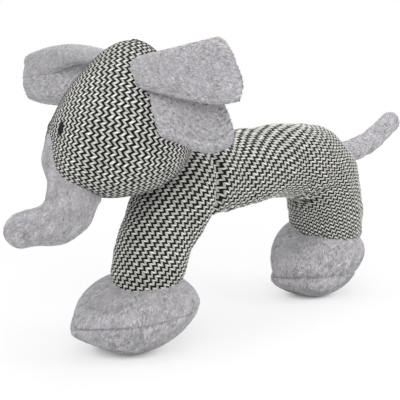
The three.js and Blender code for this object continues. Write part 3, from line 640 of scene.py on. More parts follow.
def add_piece(name, points, faces, places, material, values=None, normals=None):
    """Puts drawn points, faces and bake places into a new mesh object at its place in the frame."""
    points = points + shift()
    mesh = bpy.data.meshes.new(name)
    mesh.vertices.add(len(points))
    mesh.vertices.foreach_set("co", np.ascontiguousarray(points, np.float32).ravel())
    corners = np.concatenate([f.ravel() for f in faces])
    sizes = np.concatenate([np.full(len(f), f.shape[1]) for f in faces])
    mesh.loops.add(len(corners))
    mesh.loops.foreach_set("vertex_index", corners.astype(np.int32))
    mesh.polygons.add(len(sizes))
    mesh.polygons.foreach_set(
        "loop_start", np.concatenate([[0], np.cumsum(sizes)[:-1]]).astype(np.int32)
    )
    mesh.update(calc_edges=True)
    mesh.polygons.foreach_set("use_smooth", np.ones(len(sizes), bool))
    layer = mesh.uv_layers.new(name="OFBake")
    flat = np.concatenate([p.reshape(-1, 2) for p in places]).astype(np.float32)
    layer.data.foreach_set("uv", np.ascontiguousarray(flat).ravel())
    for key, data in (values or {}).items():
        kind, field = ("FLOAT_VECTOR", "vector") if data.ndim == 2 else ("FLOAT", "value")
        attribute = mesh.attributes.new(key, kind, "POINT")
        attribute.data.foreach_set(field, np.ascontiguousarray(data, np.float32).ravel())
    if normals is not None:
        mesh.normals_split_custom_set_from_vertices(normals.astype(np.float32))
    mesh.materials.append(material)
    if mesh.validate():
        raise RuntimeError(f"{name}: the mesh has broken faces")
    piece = bpy.data.objects.new(name, mesh)
    bpy.context.scene.collection.objects.link(piece)
    return piece


def closed_cloth(name, points, weave, relief, material):
    """Woven tube or ball: a grid raised along its normals by relief, closed by a pole at each end."""
    faces, places = closed_faces(*points.shape[:2])
    skin = with_poles(raised(points, relief))
    return add_piece(name, skin, faces, places, material, {"weave": with_poles(weave)})


def grain_places(points, grain, row, column):
    """Places on a grid counted in streaks of pile: the way round and the way along over the grain."""
    rows, columns = points.shape[:2]
    girth = np.linalg.norm(np.roll(points, -1, 1) - points, axis=-1).sum(1).max()
    run = np.linalg.norm(points[1:] - points[:-1], axis=-1).sum(0).max()
    return np.stack([column / columns * girth / grain[0], row / (rows - 1) * run / grain[1], 0 * row], -1)


def lock_roots(points, locks, bare, rng):
    """Rows and columns of a grid strewn evenly over its area, less where it is bare."""
    columns = points.shape[1]
    across = np.roll(points, -1, 1)[:-1] - points[:-1]
    area = np.linalg.norm(np.cross(across, points[1:] - points[:-1]), axis=-1)
    if bare is not None:
        area = area * (1 - bare[:-1])
    total = np.cumsum(area.ravel())
    cell = np.searchsorted(total, rng.uniform(0, total[-1], locks))
    row = cell // columns + rng.uniform(0, 1, locks)
    return row, cell % columns + rng.uniform(0, 0.999, locks)


def tufts(points, comb, pile, locks, tuft_length, lift, seed, grain, bare=None):
    """Pile on a grid of points: locks of leaning four-cornered spikes whose tips draw together.

    A lock runs from its root along the comb direction lifted towards the normal; its spikes stand
    round the root and lean to the lock's tip."""
    rng = np.random.default_rng(seed)
    hairs, width = pile.hairs, pile.tuft_width
    rows, columns = points.shape[:2]
    row, column = lock_roots(points, locks, bare, rng)
    root = bilinear(points, row, column)
    normal = unit(bilinear(grid_normals(points), row, column))
    lay = bilinear(comb, row, column)
    for share, size, first in LOCK_WAVES:
        lay = lay + share * np.stack([waves(root, size, seed + first + k, 10) for k in range(3)], -1)
    lay = lay + rng.normal(0, LOCK_STRAY, (locks, 3))
    lay = unit(lay - normal * (lay * normal).sum(-1, keepdims=True))
    way = unit(lay + normal * lift * rng.uniform(*LOCK_LIFTS, (locks, 1)))
    reach = tuft_length * rng.uniform(*LOCK_LENGTHS, (locks, 1))
    side = unit(np.cross(way, normal))
    spread = width * rng.normal(0, TUFT_SPREAD, (locks, hairs, 2))
    foot = root[:, None] + side[:, None] * spread[..., :1] + lay[:, None] * spread[..., 1:] * TUFT_STRETCH
    tip = root[:, None] + way[:, None] * reach[:, None] * rng.uniform(*TUFT_LENGTHS, (locks, hairs, 1))
    rise = width * rng.normal(0, TIP_STRAY, (locks, hairs, 1))
    tip = tip + side[:, None] * spread[..., :1] * TIP_SPREAD + normal[:, None] * rise
    side, normal = (np.repeat(v, hairs, axis=0) for v in (side, normal))
    foot, tip = foot.reshape(-1, 3) - normal * width * TUFT_ROOT, tip.reshape(-1, 3)
    number = locks * hairs
    half = width / 2 * rng.uniform(*TUFT_WIDTHS, (number, 1))
    ridge = foot + normal * half * TUFT_DEPTH
    spikes = np.stack([foot + side * half, foot - side * half, ridge, tip], 1)
    spikes[..., 2] = np.maximum(spikes[..., 2], PILE_FLOOR)
    first = np.arange(number)[:, None, None] * 4
    faces = (first + np.array([[0, 2, 3], [2, 1, 3], [1, 0, 3], [0, 1, 2]])).reshape(-1, 3)
    base = np.cross(spikes[:, 1] - spikes[:, 0], spikes[:, 2] - spikes[:, 0])
    if np.median(np.einsum("ij,ij->i", base, tip - foot)) > 0:
        faces = faces[:, ::-1]
    place = np.repeat(np.stack([column / columns, row / (rows - 1)], -1), 12 * hairs, axis=0)
    tone = np.repeat(rng.uniform(-1, 1, locks), hairs) + TUFT_TONE * rng.uniform(-1, 1, number)
    return {
        "points": spikes.reshape(-1, 3),
        "faces": faces,
        "places": place.reshape(-1, 3, 2),
        "tip": np.tile(TUFT_CORNERS, number),
        "tone": np.repeat(tone, 4),
        "grain": np.repeat(grain_places(points, grain, row, column), 4 * hairs, axis=0),
        "normals": np.repeat(unit(normal + TUFT_LEAN * unit(tip - foot)), 4, axis=0),
    }


def skinned(name, skin, faces, places, normals, grain, material, hair):
    """Skin and pile put together in one mesh, with tip, tone and grain values for the finish; the skin
    has tip 0, so it takes the full painted shade of the pile's foot.
    """
    flat = np.zeros(len(skin))
    values = {"tip": flat, "tone": flat, "grain": grain}
    return add_piece(
        name,
        np.concatenate([skin, hair["points"]]),
        [*faces, hair["faces"] + len(skin)],
        [*places, hair["places"]],
        material,
        {key: np.concatenate([value, hair[key]]) for key, value in values.items()},
        np.concatenate([normals, hair["normals"]]),
    )


def plush_piece(name, points, comb, pile, locks, tuft_length, lift, seed, grain, bare=None):
    """Plush skin over a grid of points, closed on its poles, with pile combed along it."""
    hair = tufts(points, comb, pile, locks, tuft_length, lift, seed, grain, bare)
    faces, places = closed_faces(*points.shape[:2])
    skin = with_poles(waved(points, *SKIN_WAVES))
    normals = unit(with_poles(grid_normals(points)))
    at = grain_places(points, grain, *np.indices(points.shape[:2], float))
    at = np.concatenate([at.reshape(-1, 3), at[[0, -1], 0]])
    return skinned(name, skin, faces, places, normals, at, plush_material(pile), hair)


# Shapes of the toy


def arch_stations(body):
    """Stations of the arch from the front foot to the hind foot: along, up, width."""
    names = (
        "front_tuck", "front_ankle", "front_leg", "shoulder", "waist",
        "back", "hip", "hind_leg", "hind_ankle", "hind_tuck",
    )
    return [tuple(getattr(body, name)) for name in names]


def head_place(head, points):
    """Turns points from the head's own axes and sets them at the head's place."""
    c, s = np.cos(head.turn), np.sin(head.turn)
    x, y = points[..., 0], points[..., 1]
    return np.stack([x * c + y * s + head.along, y * c - x * s, points[..., 2]], -1)


def head_share(head, height):
    """Width of the egg at a height: 1 less up squared, to a power of a half that falls towards the
    crown, times 1 less egg times up."""
    up = np.clip((height - head.centre) / (head.height / 2), -1, 1)
    return (1 - up**2) ** (0.5 - head.crown * np.maximum(0, up)) * (1 - head.egg * up)


def head_surface(head, turn, height, side, lift):
    """Point of the head at an angle from the front and a height, lifted off the cloth."""
    share = head_share(head, height)
    x = head.lean * (height - head.centre) - (head.depth / 2 * share + lift) * np.cos(turn)
    y = side * (head.width / 2 * share + lift) * np.sin(turn)
    return head_place(head, np.stack([x, y, height + 0 * x], -1))


def herringbone(cloth, weave):
    """Height of the light yarn, 0 to 1, at places on the flat cloth.

    A place is counted in chains across and half zigzags along, with the swing of a zigzag in chains.
    A chain swings by a triangle wave of the place along it; the distance from the chain's middle is
    folded into one chain, and the yarn is round across and swells between its turns."""
    across, along, swing = np.moveaxis(cloth, -1, 0)
    chain = across + np.abs((along - 1) % 2 - 1) * swing
    off = np.abs(2 * (chain - np.floor(chain)) - 1) / weave.light_share
    turn = np.abs(2 * (along % 1) - 1)
    return np.sqrt(np.clip(1 - off**2, 0, 1)) * (1 - YARN_PINCH * turn**3)


def yarn_relief(cloth, weave):
    """How far the yarn stands off the plain cloth."""
    return weave.relief * (herringbone(cloth, weave) - YARN_LEVEL)


def strayed(points, across, along, weave, spacing, zigzag):
    """Places on the cloth in chains and half zigzags, moved by smooth waves so no chain is straight."""
    across = across + weave.wander * layered(points, STRAY_ACROSS)
    along = along + weave.wander * layered(points, STRAY_ALONG)
    return np.stack([across / spacing, along * 2 / zigzag, 0 * along + weave.swing / spacing], -1)


def smoothed(values, reach):
    """Rows of values averaged with their neighbours by a bell of that many rows."""
    size = int(3 * reach)
    bell = np.exp(-0.5 * (np.arange(-size, size + 1) / reach) ** 2)
    padded = np.pad(values, ((size, size), (0, 0)), mode="reflect", reflect_type="odd")
    return np.stack([np.convolve(c, bell / bell.sum(), "valid") for c in padded.T], 1)


def arch_sections(body, rows):
    """Rings of the arch: middle, outer direction, half depth, half width, share and length along it.

    The outer and inner edges of a plain tube are taken, the inner one is smoothed so the cloth
    runs round the insides of the bends, and each ring spans from edge to edge."""
    stations = arch_stations(body)
    share, run = even_shares(stations, rows)
    middle, _, outer, radius = tube_frame(stations, share)
    edge = middle + outer * radius[:, None]
    inside = middle - outer * radius[:, None]
    stride = run[-1] / (rows - 1)
    near = hump(run, np.interp(ARMPIT_AT / ARCH_SPANS, share, run), body.armpit_reach)[:, None]
    tight, loose = smoothed(inside, INSIDE_EASE / stride), smoothed(inside, body.armpit / stride)
    inside = tight + (loose - tight) * near
    depth = np.linalg.norm(edge - inside, axis=1) / 2
    return (edge + inside) / 2, unit(edge - inside), depth, radius, share, run


def arch_relief(body, plain):
    """Height on the plain arch of the shoulder crease, the hip gathers, the filling and the ankle seams.

    The crease is a groove between two swells, the gathers are a sine of the bearing from their
    point, the filling is a sum of waves, and each ankle seam is a groove."""
    x, z = plain[..., 0], plain[..., 2]
    place = x - body.crease_along + CREASE_SLOPE * (z - CREASE_LEVEL)
    swell = sum(share * hump(place, at, width) for share, at, width in CREASE_SWELLS)
    crease = (swell - hump(place, 0, body.crease_width)) * step(*CREASE_FADE, z)
    ahead, above = x - body.gather_from[0], z - body.gather_from[1]
    bearing = np.arctan2(above, ahead)
    fan = bearing * body.gathers + GATHER_STRAY * waves(plain, *GATHER_WAVES)
    gathers = hump(np.hypot(ahead, above), *GATHER_RING) * hump(bearing, *GATHER_FAN) * np.sin(fan)
    relief = body.crease_depth * crease + body.gather_depth * gathers
    relief = relief + body.lumps * layered(plain, LUMP_WAVES)
    for ankle in (body.front_ankle, body.hind_ankle):
        level = hump(z, ankle[1] + ANKLE_RISE, ANKLE_HEIGHT)
        relief = relief - ANKLE_PULL * level * hump(x, ankle[0], ANKLE_REACH)
    return relief


def arch_panels(body, weave, plain, turn, outer, depth, share, run):
    """Places across and along the chains on the flat side panels, and how far they are hind ones.

    A point's place is where the upright plane sees it, moved on by how much longer the way round
    the tube is. The stretched back is drawn together, and the chains turn on the hind leg."""
    hip, shoulder = (np.interp(at / ARCH_SPANS, share, run) for at in (HIP_AT, SHOULDER_AT))
    run = run[:, None]
    seam = body.panel_seam
    round_ = np.where(turn > seam, np.pi - turn, np.where(turn < -seam, -np.pi - turn, turn))
    held = hump(run, hip, BEND_REACH) + hump(run, shoulder, BEND_REACH)
    free = np.clip(1 - BEND_HOLD * held, 0, 1)
    lead = step(hip + HIP_LEAD[0], hip + HIP_LEAD[1], run)
    hind = run > hip + HIND_START
    more = depth[:, None] * (round_ - np.sin(round_))
    out_x, out_z = outer[:, None, 0], outer[:, None, 2]
    more_x = more * np.where(round_ > 0, out_x, np.where(hind, lead, out_x * free))
    more_z = more * out_z * np.where(round_ > 0, 1, np.where(hind, 0, free))
    reach = np.linspace(-STRETCH_REACH, STRETCH_REACH, STRETCH_SAMPLES)
    slack = step(*STRETCH_FROM, reach) * (1 - step(*STRETCH_TO, reach))
    even = np.cumsum(1 - (1 - 1 / weave.body_stretch) * slack) * (reach[1] - reach[0])
    ahead = np.interp(plain[..., 0], reach, even) - np.interp(body.hip[0], reach, even) + more_x
    above = plain[..., 2] + more_z - body.hip[1]
    behind = step(*HIND_AHEAD, ahead)
    slant = weave.slant - weave.hind_turn * behind * step(*HIND_BELOW, -above)
    c, s = np.cos(slant), np.sin(slant)
    return above * c - ahead * s, ahead * c + above * s, behind


def arch_grid(body, weave):
    """Cloth tube of the body and both legs: middle plus width and depth times the turn, plus relief."""
    rows = int(tube_length(arch_stations(body)) / body.mesh_step)
    columns = int(np.pi * body.shoulder[2] / body.mesh_step)
    middle, outer, depth, radius, share, run = arch_sections(body, rows)
    turn = (np.linspace(0, 2 * np.pi, columns, endpoint=False) - np.pi / 2)[None, :]
    spoke = (
        np.cos(turn)[..., None] * SIDE * radius[:, None, None]
        + np.sin(turn)[..., None] * outer[:, None] * depth[:, None, None]
    )
    plain = middle[:, None] + spoke
    points = plain + unit(spoke) * arch_relief(body, plain)[..., None]
    across, along, behind = arch_panels(body, weave, plain, turn, outer, depth, share, run)
    spacing = weave.body_spacing * (1 - weave.hind_narrow * behind)
    zigzag = weave.body_zigzag * (1 + weave.hind_long * behind)
    return points, strayed(points, across, along, weave, spacing, zigzag), share


def distance_to_arch(body, points, samples=240):
    """Nearest point of the arch's middle and the radius there, for each of the given points."""
    share = np.linspace(0, 1, samples)
    middle, _, _, radius = tube_frame(arch_stations(body), share)
    flat = points.reshape(-1, 3)
    square = (flat**2).sum(1)[:, None] - 2 * flat @ middle.T + (middle**2).sum(1)[None]
    nearest = np.argmin(square, axis=1)
    return middle[nearest].reshape(points.shape), radius[nearest].reshape(points.shape[:-1])


def head_panel(head, weave, turn, height):
    """Places across and along the chains, which run straight beside a middle line down the head.

    A place across is the way round the egg from that line. A place along is the way up the egg, less
    half the square of the angle's reach times the egg's share and the rate at which it widens."""
    reach = (head.depth + head.width) / 4
    share = np.maximum(head_share(head, height), 1e-3)
    climb = np.hypot(np.diff(height[:, 0]), reach * np.diff(share[:, 0]))
    arc = np.concatenate([[0], np.cumsum(climb)])
    widening = np.gradient(share[:, 0], arc)[:, None]
    round_ = (turn - weave.head_middle) * reach
    across = round_ * share
    along = arc[:, None] - 0.5 * round_**2 * share * widening
    chains = across * np.cos(weave.head_slant) + along * np.sin(weave.head_slant)
    return chains, along * np.cos(weave.head_rows) - across * np.sin(weave.head_rows)


def head_grid(head, body, weave):
    """Cloth egg of the head: height times sine of the latitude, width by the egg's share.

    Where the egg meets the shoulder it is pushed out along the line from the arch's middle, so the
    cloth lies on the shoulder. The last result is 1 along the seam at the back."""
    meridian = HEAD_MERIDIAN * head.height
    girth = HEAD_GIRTH * np.pi * (head.depth + head.width) / 2
    rows, columns = int(meridian / head.mesh_step), int(girth / head.mesh_step)
    tilt = np.linspace(-np.pi / 2, np.pi / 2, rows + 2)[1:-1, None]
    turn = np.linspace(-np.pi, np.pi, columns, endpoint=False)[None]
    height = head.centre + head.height / 2 * np.sin(tilt)
    points = waved(head_surface(head, turn, height, 1, 0.0), *HEAD_WAVES)
    middle, radius = distance_to_arch(body, points)
    away = points - middle
    gap = np.linalg.norm(away, axis=-1)
    need = radius + HEAD_GAP
    push = np.where(gap < need, need / np.maximum(gap, 1e-6), 1.0)
    points = middle + away * push[..., None]
    chains, along = head_panel(head, weave, turn, height)
    cloth = strayed(points, chains, along, weave, weave.head_spacing, weave.head_zigzag)
    return points, cloth, hump(np.abs(turn) + 0 * height, np.pi, HEAD_SEAM_ANGLE)


def trunk_grid(head, sides=150, rows=130, samples=200):
    """Plush tube of the trunk from the head's surface to its round tip, in the head's axes.

    Each side of the tube starts where it leaves the egg. The tube leans to the right by a share of
    its height above a level, and its seam pulls in the root."""
    names = ("root", "top", "full", "upper", "bend", "tip")
    stations = [tuple(getattr(head, f"trunk_{name}")) for name in names]
    share = np.linspace(0, 1, samples)
    middle, _, outer, radius = tube_frame(stations, share)
    turn = np.linspace(0, 2 * np.pi, sides, endpoint=False)[None, :, None]
    around = np.cos(turn) * SIDE + np.sin(turn) * outer[:, None]

    def leant(points):
        climb = np.maximum(0, points[..., 2:] - TRUNK_LEAN_FROM)
        return points + head.trunk_lean * climb * SIDE

    x, y, z = np.moveaxis(leant(middle[:, None] + radius[:, None, None] * around), -1, 0)
    x = x - head.lean * (z - head.centre)
    out = np.hypot(x / (head.depth / 2), y / (head.width / 2)) > TRUNK_START * head_share(head, z)
    starts = share[np.argmax(out, axis=0)]
    points = head_place(head, leant(domed_tube(stations, rows, sides, starts)))
    level = np.linspace(0, 1, len(points))[:, None]
    height, size, seed = TRUNK_WAVES
    seam = TRUNK_SEAM_DEPTH * hump(level, 0, TRUNK_SEAM_SHARE)
    return raised(points, height * waves(points, size, seed) - seam)


def foot_grid(foot, end, rows=110, columns=240):
    """Plush pillow of a foot: reach times the cosine of the climb, height times its sine.

    The toe is drawn to a point across and thinned in height, the seam climbs to the heel, and a
    groove runs along the seam. Above the seam a foot may swell by the sine of twice the climb, sit
    back and drop to its left."""
    along, size, top, seam, tilt, bulge, back, roll = (
        getattr(foot, f"{end}_{key}")
        for key in ("along", "size", "height", "seam", "tilt", "bulge", "back", "roll")
    )
    climb = np.linspace(-np.pi / 2, np.pi / 2, rows + 2)[1:-1, None]
    turn = np.linspace(0, 2 * np.pi, columns, endpoint=False)[None]
    below = climb < 0
    above = np.maximum(0, np.sin(climb))
    toeward = np.maximum(0, -np.cos(turn))
    spread = np.cos(climb) ** np.where(below, 1, foot.fullness)
    swell = (1 - TOE_CALM * toeward) * np.where(below, 0, np.sin(2 * climb))
    spread = spread * (1 + bulge * swell)
    groove = foot.seam_depth * hump(climb, 0, FOOT_SEAM_ANGLE)
    lag = foot.sole_forward * np.minimum(0, np.sin(climb)) + back * above
    reach = np.where(np.cos(turn) < 0, foot.toe, foot.heel * size) - groove
    ahead = reach * spread * np.cos(turn) + lag
    across = np.sign(np.sin(turn)) * np.abs(np.sin(turn)) ** (1 + foot.toe_point * toeward)
    low = seam + SOLE_PRESS - tilt * foot.sole_forward
    thin = 1 - np.where(below, foot.sole_thin, foot.upper_thin) * spread * toeward**3
    rise = np.where(below, low, top - seam) * np.sin(climb) * thin
    y = (foot.width * size / 2 - groove) * spread * across
    z = seam + rise + tilt * ahead + roll * y * above
    return np.stack([along + ahead, y, np.maximum(z, SOLE_REST)], -1), climb + 0 * turn


def bent_run(run, start, radius, bend):
    """How far a strip reaches on and aside once it is bent round a radius past its start."""
    turned = np.clip((run - start) / radius, 0, bend)
    after = np.maximum(0, run - start - radius * bend)
    on = np.minimum(run, start) + radius * np.sin(turned) + after * np.cos(turned)
    return on, radius * (1 - np.cos(turned)) + after * np.sin(turned)


def ear_sheet(head, ear, name, side, rows=70, columns=130, samples=400):
    """Middle sheet of a folded ear: root to rim one way, back edge over the fold to flap the other.

    Height falls from the ridge along a strip bent over the fold, the strip reaches out from the root
    by the outline's share, the back's lower end curls, the corners are drawn in, and the fold may
    close towards the rim."""
    swing, reach, rise, droop, curl, corner, lead, close = (
        getattr(ear, f"{name}_{key}")
        for key in ("swing", "reach", "rise", "droop", "curl", "corner", "lead", "close")
    )
    flap_root, flap_tip, back_root, back_tip = (
        getattr(ear, f"{name}_{key}") for key in ("flap_root", "flap_tip", "back_root", "back_tip")
    )
    u = np.linspace(0, 1, rows)[:, None]
    w = np.linspace(0, 1, columns)[None]
    w = 0.5 + (w - 0.5) * (1 - corner * u**CORNER_POWER)
    flap = w > FOLD_AT
    share = np.where(flap, (w - FOLD_AT) / (1 - FOLD_AT), 1 - w / FOLD_AT)
    run = share * np.where(
        flap, flap_root + (flap_tip - flap_root) * u, back_root + (back_tip - back_root) * u
    )
    fold = ear.fold_radius * (1 - close * step(*FOLD_CLOSES, u))
    fold_on, fold_aside = bent_run(run, 0, fold, np.pi / 2)
    curl = curl * np.minimum(1, CURL_HASTE * u) + 1e-9
    curl_on, curl_aside = bent_run(run, CURL_START, CURL_RADIUS, curl)
    height = ear.root_high + rise * u - droop * u**2 - fold_aside + np.where(flap, 0, run - curl_on)
    led = LEAD_START + np.where(flap, LEAD_FLAP * share, np.minimum(LEAD_MOST, LEAD_BACK * share))
    ahead = np.where(flap, fold_on, -fold_on - curl_aside) + lead * (1 - u) ** LEAD_FADE * led
    heading = ear.root_angle + swing
    c, s = np.cos(head.turn), np.sin(head.turn)

    def turned(x, y):
        return np.array([x * c + y * s, y * c - x * s, 0])

    out = turned(-np.cos(heading), side * np.sin(heading))
    forward = turned(-np.sin(heading), -side * np.cos(heading))
    ends = np.array([ear.root_low, ear.root_high])
    low, high = head_surface(head, np.array([ear.root_angle] * 2), ends, side, 0.0)
    level = np.clip((height - ear.root_low) / (ear.root_high - ear.root_low), 0, 1)[..., None]
    knots = np.column_stack([OUTLINE_PLACES, getattr(ear, f"{name}_outline")])
    outline = curve_through(knots, np.linspace(0, 1, samples))
    far = -ear.tuck + (reach * np.interp(w, outline[:, 0], outline[:, 1]) + ear.tuck) * u
    points = low + (high - low) * level + out * far[..., None] + forward * ahead[..., None]
    points[..., 2] = height
    return points


def ear_panels(ear, sheet):
    """Front and back of an ear, half its thickness off the sheet, and 1 along its row of stitches.

    The thickness rises from the rim by a quarter of a circle, and the stitches press it in."""
    rows, columns = sheet.shape[:2]
    u = np.linspace(0, 1, rows)[:, None]
    w = np.linspace(0, 1, columns)[None]
    inset = np.minimum(1 - u, 0.5 * np.minimum(w, 1 - w))
    filled = np.sqrt(1 - np.clip(1 - inset / RIM_FILL, 0, 1) ** 2)
    sewn = hump(inset, *RIM_STITCHES) * (u < STITCH_END)
    thick = ear.rim + (ear.thickness - ear.rim) * filled - RIM_STITCH_DEPTH * sewn
    half = grid_normals(sheet, wrap=False) * thick[..., None] / 2
    return sheet + half, sheet - half, sewn


def ear_piece(name, front, rear, sewn, pile, seed):
    """Both panels of an ear as one closed skin with pile on either side."""
    rows, columns = front.shape[:2]
    around = np.concatenate([front, rear[:, ::-1]], axis=1)
    corners, at = grid_faces(rows, 2 * columns)
    faces, places = [corners], [at]
    j = np.arange(columns - 1)
    ring = np.stack([j, j + 1, 2 * columns - 2 - j, 2 * columns - 1 - j], 1)
    for row, turned in ((0, True), (rows - 1, False)):
        at = np.stack([ring / (2 * columns), np.full(ring.shape, row / (rows - 1))], -1)
        order = slice(None, None, -1 if turned else 1)
        faces.append((ring + row * 2 * columns)[:, order])
        places.append(at[:, order])
    comb = unit(np.gradient(around, axis=0)) - EAR_HANG * UP
    # No pile along the stitches; the groove is real, and the bare skin there shows the painted shade of
    # the pile's foot as a dark line
    bare = np.concatenate([sewn, sewn[:, ::-1]], 1)
    hair = tufts(
        around, comb, pile, pile.ear_locks, pile.ear_length,
        lift=0.15, seed=seed, grain=EAR_GRAIN, bare=bare,
    )
    grain = grain_places(around, EAR_GRAIN, *np.indices((rows, 2 * columns), float))
    skin, normals, grain = (v.reshape(-1, 3) for v in (around, grid_normals(around), grain))
    return skinned(f"{name}_plush", skin, faces, places, normals, grain, plush_material(pile), hair)


def eye_grid(head, name, side, rows=40, columns=90):
    """Oval stitching of an eye on the head: a dome of half a circle's rise with ridges across it."""
    out = np.linspace(EYE_MIDDLE, 1, rows)[::-1, None]
    turn = np.linspace(0, 2 * np.pi, columns, endpoint=False)[None]
    across = out * np.cos(turn) * head.eye_width / 2
    up = out * np.sin(turn) * head.eye_length / 2
    ridge = EYE_STRAND_HEIGHT * np.cos(up / head.eye_length * 2 * np.pi * EYE_STRANDS)
    lift = EYE_RAISE * np.sqrt(np.clip(1 - out**2, 0, 1)) + ridge * (1 - out**4) - EYE_SINK
    height = head.eye_height + up
    reach = head.depth / 2 * head_share(head, height)
    bearing = getattr(head, name) + across / reach - EYE_TILT * up / head.eye_length
    points = head_surface(head, bearing, height, side, lift)
    return points[:, ::-1] if side < 0 else points


# Finishes


def link(tree, source, target):
    """Joins an output to an input."""
    tree.links.new(source, target)


def maths(tree, operation, first, second=None, third=None):
    """Math node with sockets or numbers as its inputs; returns its output."""
    node = tree.nodes.new("ShaderNodeMath")
    node.operation = operation
    for socket, value in zip(node.inputs, (first, second, third)):
        if isinstance(value, bpy.types.NodeSocket):
            link(tree, value, socket)
        elif value is not None:
            socket.default_value = value
    return node.outputs[0]


def mixed(tree, factor, first, second, blend="MIX"):
    """Colour mix node; returns its output."""
    node = tree.nodes.new("ShaderNodeMix")
    node.data_type, node.blend_type = "RGBA", blend
    for socket, value in zip((node.inputs[0], node.inputs[6], node.inputs[7]), (factor, first, second)):
        if isinstance(value, bpy.types.NodeSocket):
            link(tree, value, socket)
        elif np.ndim(value):
            socket.default_value = (*value, 1) if len(value) == 3 else value
        else:
            socket.default_value = value
    return node.outputs[2]


def noise(tree, scale, detail, vector=None):
    """Noise node on object coordinates or the given vector; returns its value."""
    node = tree.nodes.new("ShaderNodeTexNoise")
    node.inputs["Scale"].default_value = scale
    node.inputs["Detail"].default_value = detail
    if vector is None:
        vector = tree.nodes.new("ShaderNodeTexCoord").outputs["Object"]
    link(tree, vector, node.inputs["Vector"])
    return node.outputs["Fac"]


def new_group(name, inputs, outputs):
    """Empty node group with the given sockets."""
    group = bpy.data.node_groups.new(name, "ShaderNodeTree")
    for label, kind in inputs:
        group.interface.new_socket(label, in_out="INPUT", socket_type=kind)
    for label, kind in outputs:
        group.interface.new_socket(label, in_out="OUTPUT", socket_type=kind)
    return group, group.nodes.new("NodeGroupInput").outputs, group.nodes.new("NodeGroupOutput").inputs


def herringbone_group():
    """Group with the zigzag chains of light yarn on a dark ground, as a colour with painted shade and a
    height.
    """
    value, tint = "NodeSocketFloat", "NodeSocketColor"
    group, given, result = new_group(
        "Herringbone",
        [("Across", value), ("Along", value), ("Swing", value), ("Light share", value),
         ("Light", tint), ("Dark", tint)],
        [("Colour", tint), ("Height", value)],
    )
    swing = maths(group, "PINGPONG", given["Along"], 1)
    chain = maths(group, "MULTIPLY_ADD", swing, given["Swing"], given["Across"])
    off = maths(group, "ABSOLUTE", maths(group, "MULTIPLY_ADD", maths(group, "FRACT", chain), 2, -1))
    steps = given["Along"]
    turn = maths(group, "ABSOLUTE", maths(group, "MULTIPLY_ADD", maths(group, "FRACT", steps), 2, -1))
    # The light yarn ends softly at its share of the chain
    edge = group.nodes.new("ShaderNodeMapRange")
    edge.interpolation_type = "SMOOTHSTEP"
    link(group, off, edge.inputs["Value"])
    link(group, maths(group, "SUBTRACT", given["Light share"], 0.09), edge.inputs["From Min"])
    link(group, maths(group, "ADD", given["Light share"], 0.07), edge.inputs["From Max"])
    dark = edge.outputs["Result"]
    cell = group.nodes.new("ShaderNodeCombineXYZ")
    link(group, maths(group, "FLOOR", chain), cell.inputs[0])
    link(group, maths(group, "FLOOR", steps), cell.inputs[1])
    chance = group.nodes.new("ShaderNodeTexWhiteNoise")
    chance.noise_dimensions = "2D"
    link(group, cell.outputs[0], chance.inputs["Vector"])
    falling = maths(group, "MODULO", maths(group, "ABSOLUTE", maths(group, "FLOOR", steps)), 2)
    # Each stitch has a tone of its own; the halves of a zigzag are lighter and darker by turns, painted
    # light and shade from the way the yarn slants, and the turns are darker, painted shade where the yarn
    # dips
    tone = maths(group, "MULTIPLY_ADD", chance.outputs["Value"], 0.34, 0.76)
    tone = maths(group, "MULTIPLY", tone, maths(group, "MULTIPLY_ADD", falling, -0.30, 1.10))
    bent = maths(group, "POWER", turn, 6)
    tone = maths(group, "MULTIPLY", tone, maths(group, "MULTIPLY_ADD", bent, -0.70, 1))
    tone = maths(group, "MULTIPLY", tone, maths(group, "MULTIPLY_ADD", noise(group, 2600, 3), 0.5, 0.75))
    light = mixed(group, 1.0, given["Light"], tone, "MULTIPLY")
    fuzz = maths(group, "MULTIPLY_ADD", noise(group, 1800, 2), 2.4, 0.2)
    deep = mixed(group, 1.0, given["Dark"], fuzz, "MULTIPLY")
    link(group, mixed(group, dark, light, deep), result["Colour"])
    # The yarn is round, and its fibres are fine noise
    round_ = maths(group, "SUBTRACT", 1, maths(group, "MULTIPLY", off, off))
    height = maths(group, "MULTIPLY", round_, maths(group, "SUBTRACT", 1, dark))
    link(group, maths(group, "MULTIPLY_ADD", noise(group, 3200, 3), 0.35, height), result["Height"])
    return group


def pile_group():
    """Group that paints shade on plush, darker at its foot and lighter at its tip, and varies it by tuft,
    patch and streak.
    """
    value, tint = "NodeSocketFloat", "NodeSocketColor"
    group, given, result = new_group(
        "Pile shade",
        [("Colour", tint), ("Root shade", value), ("Tip", value), ("Tone", value),
         ("Grain", "NodeSocketVector")],
        [("Colour", tint), ("Height", value)],
    )
    # Painted shade and light: darker at the pile's foot, where the tufts shade one another, and lighter
    # at the tips
    span = maths(group, "SUBTRACT", 1.12, given["Root shade"])
    rise = maths(group, "MULTIPLY_ADD", given["Tip"], span, given["Root shade"])
    shade = maths(group, "MULTIPLY", rise, maths(group, "MULTIPLY_ADD", given["Tone"], 0.07, 1))
    # Broad patches, and short streaks along the pile
    patch = maths(group, "MULTIPLY_ADD", noise(group, 120, 3), 0.36, 0.84)
    curl = noise(group, 1, 1, given["Grain"])
    curl.node.inputs["Distortion"].default_value = 0.5
    patch = maths(group, "MULTIPLY", patch, maths(group, "MULTIPLY_ADD", curl, 1.9, 0.05))
    shade = maths(group, "MULTIPLY", shade, patch)
    link(group, mixed(group, 1.0, given["Colour"], shade, "MULTIPLY"), result["Colour"])
    link(group, maths(group, "MULTIPLY_ADD", noise(group, 2200, 3), 0.2, curl), result["Height"])
    return group


def attribute(tree, name):
    """Outputs of a node that reads values stored on a piece's points."""
    node = tree.nodes.new("ShaderNodeAttribute")
    node.attribute_name = name
    return node.outputs


def new_material(name, roughness):
    """New material with its node tree and its shader."""
    material = bpy.data.materials.new(name)
    material.use_nodes = True
    shader = material.node_tree.nodes["Principled BSDF"]
    shader.inputs["Roughness"].default_value = roughness
    return material, material.node_tree, shader


